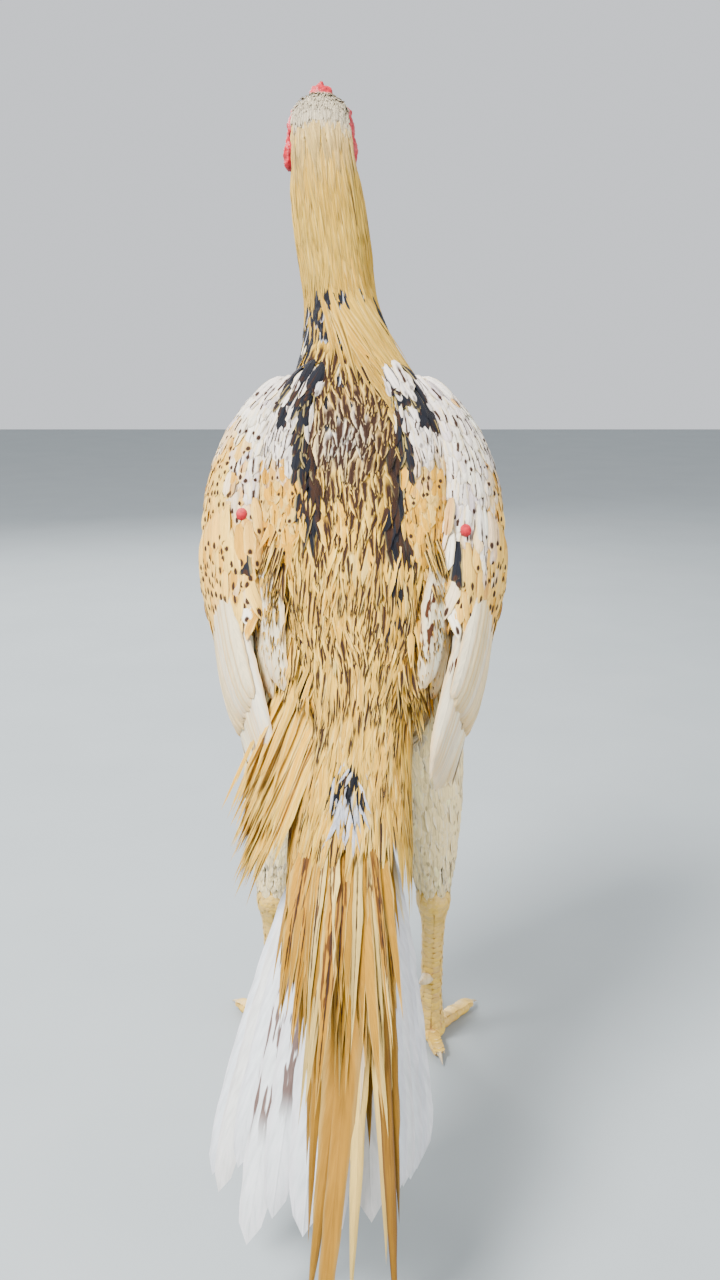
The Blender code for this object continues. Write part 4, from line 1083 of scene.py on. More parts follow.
def patchy(roots, level, size, seed, contrast=0.35):
    """A share for each feather that gathers in loose clusters."""
    return np.clip(level + contrast * mottle(roots, size, seed) + RNG.normal(0, 0.2, len(roots)), 0, 1)


def some(roots, share):
    """1 for a random share of the feathers, and 0 for the others."""
    return (RNG.random(len(roots)) < share).astype(float)


def grow(vane, form, s, angle, length, width, shape, lifts, heading=1, turn=0.0, droop=0.0, **bend):
    """Feathers laid along a form from their roots."""
    path, out = flow(form, s, angle, length, vane.rows, heading, turn, droop)
    return lay(vane, path, out, width, shape, lifts, **bend)


def crown_feathers():
    """Small grey-white feathers speckled with black over the crown."""
    coat = Coat("crown_feathers", SMALL)
    s, angle = scatter(BODY, (13.9, 10.1), (-88, 268), 0.0026, 0.0022)
    roots = BODY.point(s, angle)
    kept = (bareness(roots) < 0.8) & (roots[:, 2] > CHIN)
    s, angle, roots = s[kept], angle[kept], roots[kept]
    size = 1 - 0.5 * ramp(s, 10.6, 13.0)
    places = grow(SMALL, BODY, s, angle, 0.0120 * size * between(0.85, 1.15, s), 0.0019 * size,
                  BODY_SHAPE, (-0.0008, 0.0005, 0.0013), -1, thick=0.00015,
                  roll=about(0.25, s), fray=0.3)
    low = ramp(11.0 - s, 0, 0.7)
    ground = vary(mix(CROWN_GREY, PALE_STRAW, 0.15 + 0.75 * low), 0.07)
    dark = some(roots, 0.40 * (1 - 0.75 * low)) * between(0.5, 1, s)
    coat.add(places, plot(0, 1, s, angle), ground, vary(mix(ground, WHITE, 0.3), 0.05),
             marks(0.3 * dark, dark))
    return coat


def neck_hackles():
    """Fine pointed straw feathers down the neck; the last ones sweep over the withers to the right."""
    coat = Coat("neck_hackles", HACKLE)
    for row, (stations, degrees, long, wide, along, around) in enumerate((
            ((10.9, 6.5), (-90, 270), 0.030, 0.0021, 0.0050, 0.0025),
            ((7.4, 5.6), (54, 116), 0.060, 0.0026, 0.0044, 0.0030))):
        s, angle = scatter(BODY, stations, degrees, along, around)
        roots = BODY.point(s, angle)
        aside = np.abs(np.degrees(angle) - 90) + about(6, s)
        aside = aside + row * (90 - np.degrees(angle) + 46) * ramp(7.1 - s, 0, 1.3)
        kept = (bareness(roots) < 0.9) & ((s > 7.3) | (aside < 44))
        s, angle, roots = s[kept], angle[kept], roots[kept]
        behind = ramp(np.sin(angle), -0.7, 0.3)
        foot = ramp(8.4 - s, 0, 1.8)
        length = (long + 0.018 * behind * ramp(s, 10.9, 9.5)) * between(0.8, 1.15, s)
        sweep = (0.06 + 0.36 * row) * foot * behind + about(0.045, s)
        places = grow(HACKLE, BODY, s, angle, length, wide * between(0.8, 1.2, s), HACKLE_SHAPE,
                      (-0.0010, 0.0010 + 0.0012 * row, 0.0022 + 0.0030 * row), -1, sweep, thick=0.0002,
                      arch=0.2, roll=about(0.2, s), fray=0.35)
        golden = cloudy(roots, 0.12, 0.035, 1)
        ground = mix(PALE_STRAW, STRAW, golden)
        ground = mix(ground, GOLD, 0.45 * row * ramp(np.cos(angle), 0.1, 0.6))
        ground = mix(ground, CROWN_GREY, 0.35 * ramp(s, 9.6, 10.9))
        coat.add(places, plot(row, 2, s, angle), vary(ground, 0.09),
                 vary(mix(ground, CREAM, 0.6), 0.06),
                 marks(0.45 * patchy(roots, 0.22, 0.03, 2), 0.08 * RNG.random(len(s))))
    return coat


def breast_feathers():
    """Black feathers laced with lilac white at the foot of the neck, and the spangled breast."""
    coat = Coat("breast_feathers", COVERT)
    for row, (stations, degrees, length, wide, along, around) in enumerate((
            ((7.35, 5.0), (-90, 270), 0.028, 0.0040, 0.0056, 0.0048),
            ((6.2, 2.2), (-192, 12), 0.029, 0.0052, 0.0064, 0.0062),
            ((2.4, -0.1), (-200, 20), 0.034, 0.0056, 0.0072, 0.0070))):
        s, angle = scatter(BODY, stations, degrees, along, around)
        roots = BODY.point(s, angle)
        places = grow(COVERT, BODY, s, angle, length * between(0.85, 1.15, s),
                      wide * between(0.85, 1.1, s), COVERT_SHAPE, (-0.0012, 0.0007, 0.0024), -1,
                      about(0.08, s), roll=about(0.14, s), fray=0.3)
        level = (0.95, 0.48, 0.30)[row] + 0.14 * mottle(roots, 0.035, 7 + row) * (row > 0)
        dark = some(roots, np.clip(level, 0, 1))
        ground = mix(mix(WHITE, CREAM, 0.5), INK, dark)
        # The lace is mixed from the white as seen in sky-lit shade: painted shade
        lace = mix(SKY_SHADE_WHITE, LILAC, 0.2 + 0.4 * RNG.random(len(s)))
        border = mix(lace, INK, 0.95 * dark * some(roots, 0.30 if row else 0.75))
        coat.add(places, plot(row, 3, s, angle), vary(ground, 0.08), vary(border, 0.06),
                 marks(0.2 * RNG.random(len(s)), 0.7 * some(roots, 0.3)))
    return coat


def gap_shadow(roots):
    """Painted shadow: two blue-black lines beside the middle of the back, where it meets the shoulders."""
    middle = 0.026 + 0.060 * (roots[:, 2] - 0.40)
    off = np.abs(np.abs(roots[:, 0]) - middle)
    low = np.where(roots[:, 0] > 0, 0.452, 0.395)
    height = ramp(roots[:, 2], low, low + 0.014) * (1 - ramp(roots[:, 2], 0.53, 0.55))
    return (1 - ramp(off, 0.003, 0.009)) * height


def back_feathers():
    """Pointed straw feathers streaked with dark brown between the shoulders."""
    coat = Coat("back_feathers", HACKLE)
    s, angle = scatter(BODY, (6.3, 1.7), (34, 146), 0.0062, 0.0044, 0.36)
    roots = BODY.point(s, angle)
    long = 0.030 + 0.012 * ramp(-s, -4.5, -2.5)
    veer = 0.22 * mottle(roots, 0.05, 10) + about(0.13, s)
    places = grow(HACKLE, BODY, s, angle, long * between(0.8, 1.3, s),
                  0.0050 * between(0.75, 1.2, s), BACK_SHAPE, (-0.0012, 0.0012, 0.0040), -1,
                  veer, arch=0.22, roll=about(0.28, s), fray=0.35)
    ground = mix(PALE_STRAW, STRAW, cloudy(roots, 0.5, 0.03, 11))
    # The white patch at the withers is tinted as in sky-lit shade: painted shade
    ground = mix(ground, SKY_SHADE_WHITE, 0.9 * near(roots, WHITE_PATCH, 0.020))
    # Feathers in the gaps beside the shoulders turn black, ground and border: painted shadow
    gap = gap_shadow(roots)
    ground = mix(ground, INK, some(roots, gap))
    top = ramp(roots[:, 2], 0.46, 0.50)
    for place, radius in DARK_PATCHES:
        top = np.maximum(top, near(roots, place, radius))
    dark = (0.62 + 0.35 * top) * some(roots, 0.58 + 0.40 * top) * between(0.7, 1.2, s)
    coat.add(places, plot(0, 1, s, angle), vary(ground, 0.09),
             vary(mix(ground, CREAM, 0.5 * (1 - gap)), 0.06), marks(dark, some(roots, 0.10 + 0.3 * top)))
    return coat


def saddle_hackles():
    """Long pointed straw feathers that flow over the rump and the tail's root."""
    coat = Coat("saddle_hackles", HACKLE)
    for row, (stations, degrees, length, along, splay, rise) in enumerate((
            ((0.9, 2.0), (34, 146), 0.060, 0.0060, 0.0, 0.005),
            ((1.9, 3.3), (24, 148), 0.084, 0.0056, 0.0, 0.005),
            ((3.0, 4.5), (0, 165), 0.088, 0.0056, 0.0, 0.005),
            ((0.3, 2.7), (30, 56), 0.062, 0.0050, -0.16, 0.015),
            ((0.3, 2.7), (126, 150), 0.062, 0.0050, 0.12, 0.015))):
        s, angle = scatter(SADDLE_FORM, stations, degrees, along, 0.0038, 0.36)
        roots = SADDLE_FORM.point(s, angle)
        places = grow(HACKLE, SADDLE_FORM, s, angle, length * between(0.7, 1.15, s),
                      0.0038 * between(0.7, 1.2, s), HACKLE_SHAPE, (-0.0012, 0.0012, rise), 1,
                      splay - 0.32 * ramp(roots[:, 0], -0.005, 0.04) * ramp(s, 1.5, 3.5) * (row < 3)
                      + 0.12 * mottle(roots, 0.05, 13) + about(0.08, s), 0.5, thick=0.00022,
                      arch=0.2, roll=about(0.28, s), fray=0.35)
        ground = mix(PALE_STRAW, STRAW, cloudy(roots, 0.55, 0.04, 14))
        ground = mix(ground, GOLD, np.clip(0.30 * mottle(roots, 0.05, 15), 0, 1))
        ground = mix(ground, CREAM, 0.6 * some(roots, 0.12))
        right = ramp(roots[:, 0], 0.01, -0.03)
        high = 1 - ramp(s, 1.8, 3.2)
        coat.add(places, plot(row, 5, s, angle), vary(ground, 0.10),
                 vary(mix(ground, CREAM, 0.5), 0.06),
                 marks(0.75 * some(roots, 0.14 + 0.42 * high), some(roots, 0.05 + 0.2 * right + 0.1 * high)))
    return coat


def loose_bunch():
    """Saddle feathers that part over the tail's root: white down with black, and a bunch to the left."""
    coat = Coat("loose_saddle", HACKLE)
    s, angle = scatter(SADDLE_FORM, (4.4, 5.2), (78, 98), 0.0034, 0.0026, 0.4)
    roots = SADDLE_FORM.point(s, angle)
    places = grow(HACKLE, SADDLE_FORM, s, angle, 0.034 * between(0.5, 1.2, s),
                  0.0024 * between(0.7, 1.2, s), HACKLE_SHAPE, (0.0010, 0.0035, 0.0050), 1,
                  about(0.22, s), 0.4, arch=0.2, roll=about(0.4, s), fray=0.5)
    dark = some(roots, 0.9 * near(roots, roots.mean(0) + [0.002, -0.008, 0.009], 0.012))
    # The white down is tinted as in sky-lit shade: painted shade
    ground = mix(mix(SKY_SHADE_WHITE, LILAC, 0.3), INK, dark)
    coat.add(places, plot(0, 2, s, angle), vary(ground, 0.06), vary(ground, 0.05), marks(0.0, 0.0))
    count = 230
    rank = RNG.random(count)
    root = SADDLE_FORM.point(2.6 + 1.7 * rank, np.radians(RNG.uniform(10, 62, count)), 0.002)
    yaw = 14 + 24 * rank + RNG.normal(0, 5, count)
    path, out = hang(root, yaw, 40 + 10 * rank, 12, 0.066 + 0.034 * RNG.random(count), HACKLE.rows, 14, 18)
    places = lay(HACKLE, path, out, 0.0034 * RNG.uniform(0.7, 1.2, count), HACKLE_SHAPE, (0.0, 0.002, 0.002),
                 thick=0.00022, arch=0.2, roll=RNG.normal(0, 0.3, count), fray=0.35)
    ground = mix(PALE_STRAW, STRAW, RNG.random(count))
    coat.add(places, cell(1, 2, shares(yaw), rank), vary(ground, 0.09), vary(mix(ground, CREAM, 0.7), 0.06),
             marks(0.12 * RNG.random(count), 0.0))
    return coat


def rear_down():
    """Loose pale plumage under the tail and behind the belly."""
    coat = Coat("vent_fluff", HACKLE)
    form = tail_form()
    for row, (place, stations, degrees, heading, length) in enumerate((
            (form, (0.0, 2.2), (-180, 180), 1, 0.052), (BODY, (1.9, 0.0), (-200, 20), -1, 0.050))):
        s, angle = scatter(place, stations, degrees, 0.0060, 0.0046)
        places = grow(HACKLE, place, s, angle, length * between(0.7, 1.2, s),
                      0.0046 * between(0.8, 1.2, s), LOOSE_SHAPE, (-0.001, 0.002, 0.006), heading,
                      about(0.15, s), 0.5, thick=0.00018, roll=about(0.35, s), fray=0.5)
        ground = mix(WHITE, CREAM, RNG.random(len(s)) * 0.6)
        coat.add(places, plot(row, 2, s, angle), vary(ground, 0.05), vary(ground, 0.04),
                 marks(0.0, 0.0))
    return coat


def shoulder_feathers():
    """Scapulars: pinkish white laced with black above, golden and spotted below."""
    coat = Coat("scapulars", COVERT)
    s, angle = scatter(SHOULDER_FORM, (0.05, 4.7), (-35, 215), 0.0056, 0.0052)
    places = grow(COVERT, SHOULDER_FORM, s, angle, 0.023 * between(0.8, 1.15, s),
                  0.0043 * between(0.8, 1.15, s), COVERT_SHAPE, (-0.0010, 0.0008, 0.0022), 1,
                  about(0.12, s), roll=about(0.15, s), fray=0.3)
    for side in SIDES:
        roots = SHOULDER_FORM.point(s, angle) * [side, 1, 1]
        jitter = about(0.006, s)
        top = ramp(roots[:, 2] + jitter, 0.488, 0.512)
        low = 1 - ramp(roots[:, 2] + jitter, 0.400, 0.416)
        golden = mix(STRAW, GOLD, np.clip(0.35 + 0.35 * mottle(roots, 0.02, 31) + 0.2 * (side > 0), 0, 1))
        ground = mix(mix(golden, CREAM, 0.5 * some(roots, 0.3)), mix(WHITE, LILAC, 0.45), top)
        ground = mix(ground, WHITE, 0.9 * low)
        # Black in the gap beside the back is painted shadow, and the shoulder's top turns darker towards the
        # neck
        gap = np.maximum(0.9 * gap_shadow(roots), 0.55 * ramp(roots[:, 2], 0.516, 0.534))
        ground = mix(ground, INK, some(roots, gap))
        border = mix(mix(ground, CREAM, 0.45), INK, top * some(roots, 0.45))
        spot = some(roots, 0.34 * (1 - top)) + 0.6 * top * some(roots, 0.4)
        coat.add(own_side(places, side, COVERT), plot(side < 0, 2, s, angle), vary(ground, 0.09),
                 vary(border, 0.06), marks(patchy(roots, 0.10 + 0.25 * top, 0.02, 32), spot))
    return coat


def wing_coverts():
    """Coverts in tiers: whitish with grey streaks above, straw with rows of dark dots at the edge."""
    coat = Coat("wing_coverts", COVERT)
    row = 0
    for stations, degrees, length, wide, along, around in (
            ((0.05, 5.0), (-40, 200), 0.023, 0.0048, 0.0068, 0.0058),
            ((0.2, 6.2), (200, 320), 0.028, 0.0056, 0.0090, 0.0080),
            ((3.5, 4.9), (-50, 210), 0.023, 0.0052, 0.0072, 0.0062)):
        over = 0.0044 * (stations[0] > 3)
        s, angle = scatter(WING_FORM, stations, degrees, along, around, 0.2)
        long = length * (1 + 0.45 * ramp(s, 2.8, 4.4)) * between(0.85, 1.15 + 40 * over, s)
        places = grow(COVERT, WING_FORM, s, angle, long, wide * between(0.85, 1.15, s), COVERT_SHAPE,
                      (over - 0.0010, over + 0.0008, over + 0.0024), 1, about(0.07, s),
                      roll=about(0.13, s), fray=0.25)
        for side in SIDES:
            roots = WING_FORM.point(s, angle) * [side, 1, 1]
            laid = own_side(places, side, COVERT)
            if over:
                free = np.linalg.norm(laid - SPOTS[side], axis=-1).min(1) > SPOT_CLEAR
            else:
                free = near(roots, SPOTS[side], SPOT_RADIUS) < 0.55
            lean = np.degrees(angle) + about(8, s)
            shift = 0 if side > 0 else 1
            outer = np.maximum(ramp(lean, 18 + 26 * shift, 40 + 28 * shift),
                               ramp(s + about(0.15, s), 2.9 + 0.7 * shift, 3.5 + 0.7 * shift))
            outer = outer * ramp(s + about(0.2, s), 1.4 + 0.6 * shift, 2.3 + 0.6 * shift)
            pale = mix(WHITE, LILAC, cloudy(roots, 0.35, 0.02, 41, 0.3))
            straw = mix(PALE_STRAW, STRAW, cloudy(roots, 0.5, 0.03, 42, 0.4))
            ground = mix(pale, straw, 0.92 * outer)
            low = ramp(s, 4.2, 4.9)
            ground = mix(ground, GOLD, 0.8 * some(roots, 0.04 + 0.12 * outer + 0.2 * low))
            ground = mix(ground, WHITE, 0.9 * low * some(roots, 0.3))
            dark = 0.9 * near(roots, SPOTS[side] + [0, 0.003, -0.008], 0.006)
            ground = mix(ground, INK, some(roots, dark))
            border = mix(ground, CREAM, 0.5 * (1 - dark))
            spot = some(roots, (0.20 + 0.75 * outer) * (1 - 0.4 * low))
            streak = (1 - outer) * patchy(roots, 0.35, 0.015, 43)
            grey = mix(border, GREY, 0.55 * (1 - outer) * some(roots, 0.3))
            coat.add(laid[free], plot(row, 6, s, angle)[free],
                     vary(ground, 0.08)[free], vary(grey, 0.06)[free], marks(streak, spot)[free])
            row += 1
    return coat


def inner_paths(share, reach):
    """The inner wing feathers, which lie over the rump's side on their way to the wing's tip."""
    stations = np.interp(reach, [0, 0.5, 1], [3.3, 2.1, 1.0])
    degrees = np.stack([np.interp(reach, [0, 0.5, 1], [44 - 16 * at, 48 - 16 * at, 40 - 12 * at])
                        for at in share])
    stations = np.broadcast_to(stations, degrees.shape) + 0.25 * np.sin(3 * share)[:, None] * reach
    angles = np.radians(degrees)
    lift = np.interp(reach, [0, 0.3, 1], [0.004, 0.010, 0.0125]) - 0.0006 * (1 - share[:, None])
    return BODY.point(stations, angles, lift), BODY.normal(stations, angles)


def flight_feathers():
    """Wing quills folded like a fan in two tiers, and the inner ones over the rump's side."""
    coat = Coat("flight_feathers", QUILL)
    for row, (count, station, wide, shorter, lift) in enumerate((
            (17, 3.3, 0.0074, 0.0, 0.0), (15, 2.6, 0.0060, 0.42, 0.0022), (7, 3.2, 0.0080, 0.0, 0.0))):
        share = np.linspace(0, 1, count)
        root_angle = np.arccos(np.linspace(0.20, -0.76, count))
        bend_angle = np.arccos(np.linspace(0.80, -0.70, count))
        root = WING_FORM.point(np.full(count, station), root_angle, 0.0006)
        bend = WING_FORM.point(np.full(count, 5.2), bend_angle, 0.0034 + lift)
        tip = WING_TIP_INNER + STANCE + (WING_TIP_OUTER - WING_TIP_INNER) * share[:, None]
        further = (0.012 * np.sin(math.pi * share) + RNG.uniform(-0.003, 0.003, count))[:, None]
        tip = tip + unit(tip - bend) * further
        tip = tip * (1 - shorter) + bend * shorter
        pull = bend * 2 - (root + tip) / 2
        reach = np.linspace(0, 1, QUILL.rows + 1)
        r = reach[None, :, None]
        path = root[:, None] * (1 - r) ** 2 + pull[:, None] * (2 * r * (1 - r)) + tip[:, None] * r**2
        angle = root_angle[:, None] + (bend_angle - root_angle)[:, None] * np.minimum(1, reach * 2)
        out = WING_FORM.normal(station + (5.2 - station) * np.broadcast_to(reach, angle.shape), angle)
        path = path + out * (lift * reach)[None, :, None]
        if row == 2:
            path, out = inner_paths(share, reach)
        places = lay(QUILL, path, out, wide, QUILL_SHAPE, (-0.002, 0, 0.0), thick=0.0004, arch=0.16,
                     roll=math.radians(12), fray=0.12)
        for side in SIDES:
            ground = mix(WHITE, CREAM, 0.10 + 0.45 * RNG.random(count))
            if row == 1:
                ground = mix(ground, STRAW, 0.4 * share)
            rust = np.where((side < 0) & (share < 0.3) & (row != 1), 1.0, 0.0)
            spots = cell(row * 2 + (side < 0), 6, share, np.full(count, 0.5))
            # The border, a darker straw towards the vanes' edges, is partly the quills' own buff edge and
            # partly painted shade between them
            coat.add(own_side(places, side, QUILL), spots, vary(ground, 0.05),
                     vary(mix(ground, STRAW, 0.45), 0.04), marks(0.0, 0.0, rust), patch=0.012)
    return coat


def thigh_feathers():
    """Short pale plumage down the thighs, smaller towards the hocks."""
    coat = Coat("thigh_feathers", COVERT)
    s, angle = scatter(THIGH_FORM, (0.3, 4.75), (-180, 180), 0.0056, 0.0054)
    size = 1 - 0.5 * ramp(s, 2.5, 4.7)
    places = grow(COVERT, THIGH_FORM, s, angle, 0.028 * size * between(0.85, 1.15, s),
                  0.0046 * (0.4 + 0.6 * size), COVERT_SHAPE, (-0.0014, 0.0006, 0.0024), 1,
                  about(0.10, s), 0.2, roll=about(0.18, s), fray=0.35)
    for side in SIDES:
        roots = THIGH_FORM.point(s, angle) * [side, 1, 1]
        dark = patchy(roots, 0.30, 0.03, 51)
        ground = mix(mix(WHITE, CREAM, 0.7), GREY, 0.6 * ramp(dark, 0.5, 0.95))
        coat.add(own_side(places, side, COVERT), plot(side < 0, 2, s, angle), vary(ground, 0.07),
                 vary(mix(ground, WHITE, 0.5), 0.05), marks(0.3 * dark, 0.5 * some(roots, 0.12)))
    return coat


def hang(root, yaw, pitch, droop, length, rows, roll=0.0, sweep=0.0):
    """Feathers that leave their roots at a pitch below level and droop on their way, in degrees."""
    count = len(root)
    yaw, pitch, droop, length, roll, sweep = (
        np.broadcast_to(v, count)[:, None].astype(float) for v in (yaw, pitch, droop, length, roll, sweep))
    middle = (np.arange(rows) + 0.5)[None, :] / rows
    dip = np.radians(pitch + droop * middle)
    swing = np.radians(yaw + sweep * middle)
    ahead = np.stack([np.sin(swing) * np.cos(dip), np.cos(swing) * np.cos(dip), -np.sin(dip)], -1)
    steps = np.cumsum(ahead * (length / rows)[..., None], axis=1)
    points = root[:, None] + np.concatenate([np.zeros((count, 1, 3)), steps], axis=1)
    ahead = np.concatenate([ahead, ahead[:, -1:]], axis=1)
    level = unit(np.cross(ahead, [0, 0, 1]))
    upward = unit(np.cross(level, ahead))
    lean = np.radians(roll)[..., None]
    return points, unit(upward * np.cos(lean) + level * np.sin(lean))


def tail_root(far, height, aside):
    ahead, up = tail_axes()
    far, height, aside = np.broadcast_arrays(far, height, aside)
    return (TAIL_ROOT + STANCE + far[:, None] * ahead + height[:, None] * up
            + aside[:, None] * np.array([1.0, 0, 0]))


def tail_fan():
    """Broad white feathers, each pair a step lower, spread wider on the left."""
    coat = Coat("tail_fan", QUILL)
    pair = np.repeat(np.arange(7), 2)
    side = np.tile([1, -1], 7)
    yaw, length = np.array(FAN).reshape(-1, 2).T
    root = tail_root(0.012, -0.0012 * (2 * pair + (side < 0)), side * (0.002 + 0.0018 * pair))
    path, out = hang(root, yaw, TAIL_PITCH + 1.2 * pair, TAIL_DROOP, length, QUILL.rows,
                     side * 3 * np.maximum(0, pair - 2))
    places = lay(QUILL, path, out, 0.0122 + 0.0012 * RNG.random(14), QUILL_SHAPE, (0, 0, 0), thick=0.0004,
                 arch=0.16, roll=RNG.normal(0, 0.12, 14), fray=0.12)
    # The fan's white is tinted as in sky-lit shade: painted shade
    ground = mix(SKY_SHADE_WHITE, CREAM, 0.05 + 0.15 * RNG.random(14))
    rust = np.where(side > 0, 0.9 * (pair > 1) * (pair < 4), 0.0)
    coat.add(places, plot(0, 1, pair, yaw), ground, mix(ground, LILAC, 0.25),
             marks(0.0, 0.0, rust), patch=0.02)
    return coat


def sickle_feathers():
    """Long narrow golden-brown feathers that droop over the middle of the fan."""
    coat = Coat("sickles", QUILL)
    yaw, length, wide, droop, sweep, brown = np.array(SICKLES, float).T
    rank = np.arange(len(yaw))
    root = tail_root(0.012, 0.0075 - 0.0009 * rank, yaw * 0.0009)
    path, out = hang(root, yaw, TAIL_PITCH - 6, droop, length, QUILL.rows, sweep=sweep)
    places = lay(QUILL, path, out, wide, SICKLE_SHAPE, (0, 0, 0), thick=0.0004, arch=0.24,
                 roll=RNG.normal(0, 0.30, len(yaw)), fray=0.25)
    ground = mix(mix(CREAM, OCHRE, 0.35 + 0.65 * (brown > 0)), RUST, 0.35 * brown)
    coat.add(places, plot(0, 1, rank, yaw), vary(ground, 0.06),
             mix(mix(ground, CREAM, 0.3), RUST, 0.9 * brown), marks(0.0, 0.0, 0.3 * brown), patch=0.02)
    return coat


def tail_coverts():
    """Golden and cream feathers over the roots of the tail, and a few down the middle of the fan."""
    coat = Coat("tail_coverts", PLUME)
    for row, (count, length, shorter, spread, high) in enumerate((
            (230, 0.205, 0.110, 24, 0.0135), (70, 0.235, 0.060, 12, 0.0100))):
        rank = np.linspace(0, 1, count)
        yaw = RNG.uniform(-0.6 * spread, spread, count) * (0.6 + 0.4 * rank)
        long = length - shorter * rank + RNG.uniform(-0.02, 0.015, count)
        root = tail_root(0.006, high - 0.012 * rank, yaw * 0.0010)
        path, out = hang(root, yaw, TAIL_PITCH - 8 + 7 * rank, RNG.uniform(6, 24, count), long, PLUME.rows,
                         sweep=-yaw * 0.6 + RNG.normal(0, 6, count))
        places = lay(PLUME, path, out, 0.0060 * RNG.uniform(0.6, 1.2, count), SICKLE_SHAPE, (0, 0, 0),
                     thick=0.0003, arch=0.16, roll=-np.radians(yaw) + RNG.normal(0, 0.35, count), fray=0.4)
        tone = RNG.random(count)
        ground = mix(mix(OCHRE, STRAW, 0.25), mix(GOLD, OCHRE, 0.4), tone)
        ground = mix(ground, CREAM, 0.8 * (RNG.random(count) < 0.24))
        ground = mix(ground, WHITE, 0.5 * (RNG.random(count) < 0.07) * (yaw < 6))
        coat.add(places, plot(row, 2, rank, yaw), vary(ground, 0.08),
                 vary(mix(ground, CREAM, 0.4), 0.06), marks(0.45 * (tone > 0.55), 0.0, 0.9 * (tone > 0.7)),
                 patch=0.006)
    return coat


# Legs


def leg_scales():
    """Broad scutes down the front of the shank and the toes, small scales round the sides."""
    coat = Coat("leg_scales", COVERT)
    row = 0

    def plate(form, s, angle, length, wide, tall, heading=1):
        nonlocal row
        s, angle = np.broadcast_arrays(np.asarray(s, float), np.asarray(angle, float))
        path, out = flow(form, s, angle, length, COVERT.rows, heading)
        places = lay(COVERT, path, out, wide, SCALE_SHAPE, (0.0, 0.0001, tall), thick=0.0003, arch=0.05)
        spots = plot(row, 20, s, angle)
        row += 1
        ground = vary(mix(LEG_YELLOW, SCALE_RUDDY, RNG.random(len(s)) * 0.5), 0.05)
        for mirrored in (places, own_side(places, -1, COVERT)):
            coat.add(mirrored, spots, ground, vary(mix(ground, RUST, 0.25), 0.05), marks(0.0, 0.0))

    front = np.linspace(1.15, 5.6, 27)
    for degrees, shift in ((-117, 0.0), (-63, 0.08)):
        plate(SHANK_FORM, front + shift, math.radians(degrees), 0.0066, 0.0050, 0.0007)
    back = np.linspace(1.3, 5.2, 30)
    for degrees in (68, 112):
        plate(SHANK_FORM, back, math.radians(degrees), 0.0056, 0.0040, 0.0005)
    for degrees in ((-25, 40), (140, 205)):
        s, angle = scatter(SHANK_FORM, (1.0, 5.5), degrees, 0.0030, 0.0030, 0.12)
        plate(SHANK_FORM, s, angle, 0.0040, 0.0019, 0.0004)
    s, angle = scatter(SHANK_FORM, (0.3, 1.3), (-180, 180), 0.0034, 0.0036, 0.12)
    plate(SHANK_FORM, s, angle, 0.0046, 0.0023, 0.0004)
    for sizes in TOES.values():
        form = toe_form(*sizes)[0]
        s = np.linspace(0.9, form.last - 0.15, round(sizes[1] / TOE_SCUTE))
        plate(form, s, math.pi / 2, 0.0062, sizes[2] * 0.78, 0.0005)
        for degrees in (28, 152):
            plate(form, s, math.radians(degrees), 0.0056, sizes[2] * 0.34, 0.0003)
    return coat


def finish_horn(obj, root, tip, nodes, finish):
    places, _ = vertex_rows(obj.data)
    share = np.clip(((places - root) @ (tip - root)) / ((tip - root) @ (tip - root)), 0, 1)
    note(obj.data, "Tip", share)
    soften(obj.data)
    dress(obj, finish, "horn", *nodes)


def both_horns(name, form, start, end, around, along, finish):
    """The same claw or spur on both legs."""
    for side, letter in LETTERS:
        bm = bmesh.new()
        roll_up(bm, form, start, end, around, along)
        if side < 0:
            bmesh.ops.scale(bm, vec=(-1, 1, 1), verts=bm.verts)
            bmesh.ops.reverse_faces(bm, faces=bm.faces)
        ends = [form.section(np.array([float(at)]))[0][0] * [side, 1, 1] for at in (start, end)]
        finish_horn(link(name + "_horn_" + letter, bm), *ends, [name + "_" + letter], finish)


def claws_and_spurs(finish):
    for name, sizes in TOES.items():
        form, ahead, aside = toe_form(*sizes)
        root, radius = form.section(np.array([form.last - 0.25]))[0][0], sizes[3]
        stations = []
        for share in np.linspace(0, 1, 7):
            bend = math.radians(10 - 50 * share)
            slim = radius * 0.72 * (1 - 0.90 * share)
            rise = root[2] + 0.0014 * math.sin(math.pi * share) - (root[2] - 0.0018) * share * share
            centre = np.array([root[0], root[1], 0]) + ahead * (CLAW_LENGTH * 1.1 * share) + [0, 0, rise]
            up = np.array([0, 0, math.cos(bend)]) - ahead * math.sin(bend)
            stations.append((centre, aside * slim * 0.85, unit(up) * slim * 1.1))
        both_horns(name.replace("toe", "claw"), Tube(stations), 0.0, 6.0, 20, 30, finish)
    root = SHANK_FORM.section(np.array([SPUR_STATION]))[0][0] + SPUR_OFFSET
    ahead = unit(SPUR_AXIS)
    aside = unit(np.cross(ahead, [0, 0, 1]))
    up = np.cross(aside, ahead)
    stations = []
    for share, radius in SPUR_SHAPE:
        centre = root + ahead * (SPUR_LENGTH * share) + [0, 0, SPUR_RISE * share * share]
        stations.append((centre, aside * radius, up * radius))
    both_horns("spur", Tube(stations), 0.0, 3.0, 20, 24, finish)


def beak(finish):
    """A thick curved beak in two halves with recessed nostrils."""
    for name, line, end in (("upper", UPPER_BEAK, 5.0), ("lower", LOWER_BEAK, 4.0)):
        form = beak_form(line)
        bm = bmesh.new()
        roll_up(bm, form, 0.0, end, 40, 56)
        obj = link("beak_horn_" + name, bm)
        places, normals = vertex_rows(obj.data)
        if name == "upper":
            for side in SIDES:
                for place, radius, depth in NOSTRILS:
                    places = push(places, normals, face_point(side, place), radius, depth)
        obj.data.vertices.foreach_set("co", places.ravel())
        obj.data.update()
        ends = [form.section(np.array([at]))[0][0] for at in (0.0, end)]
        finish_horn(obj, *ends, ["beak_" + name], finish)


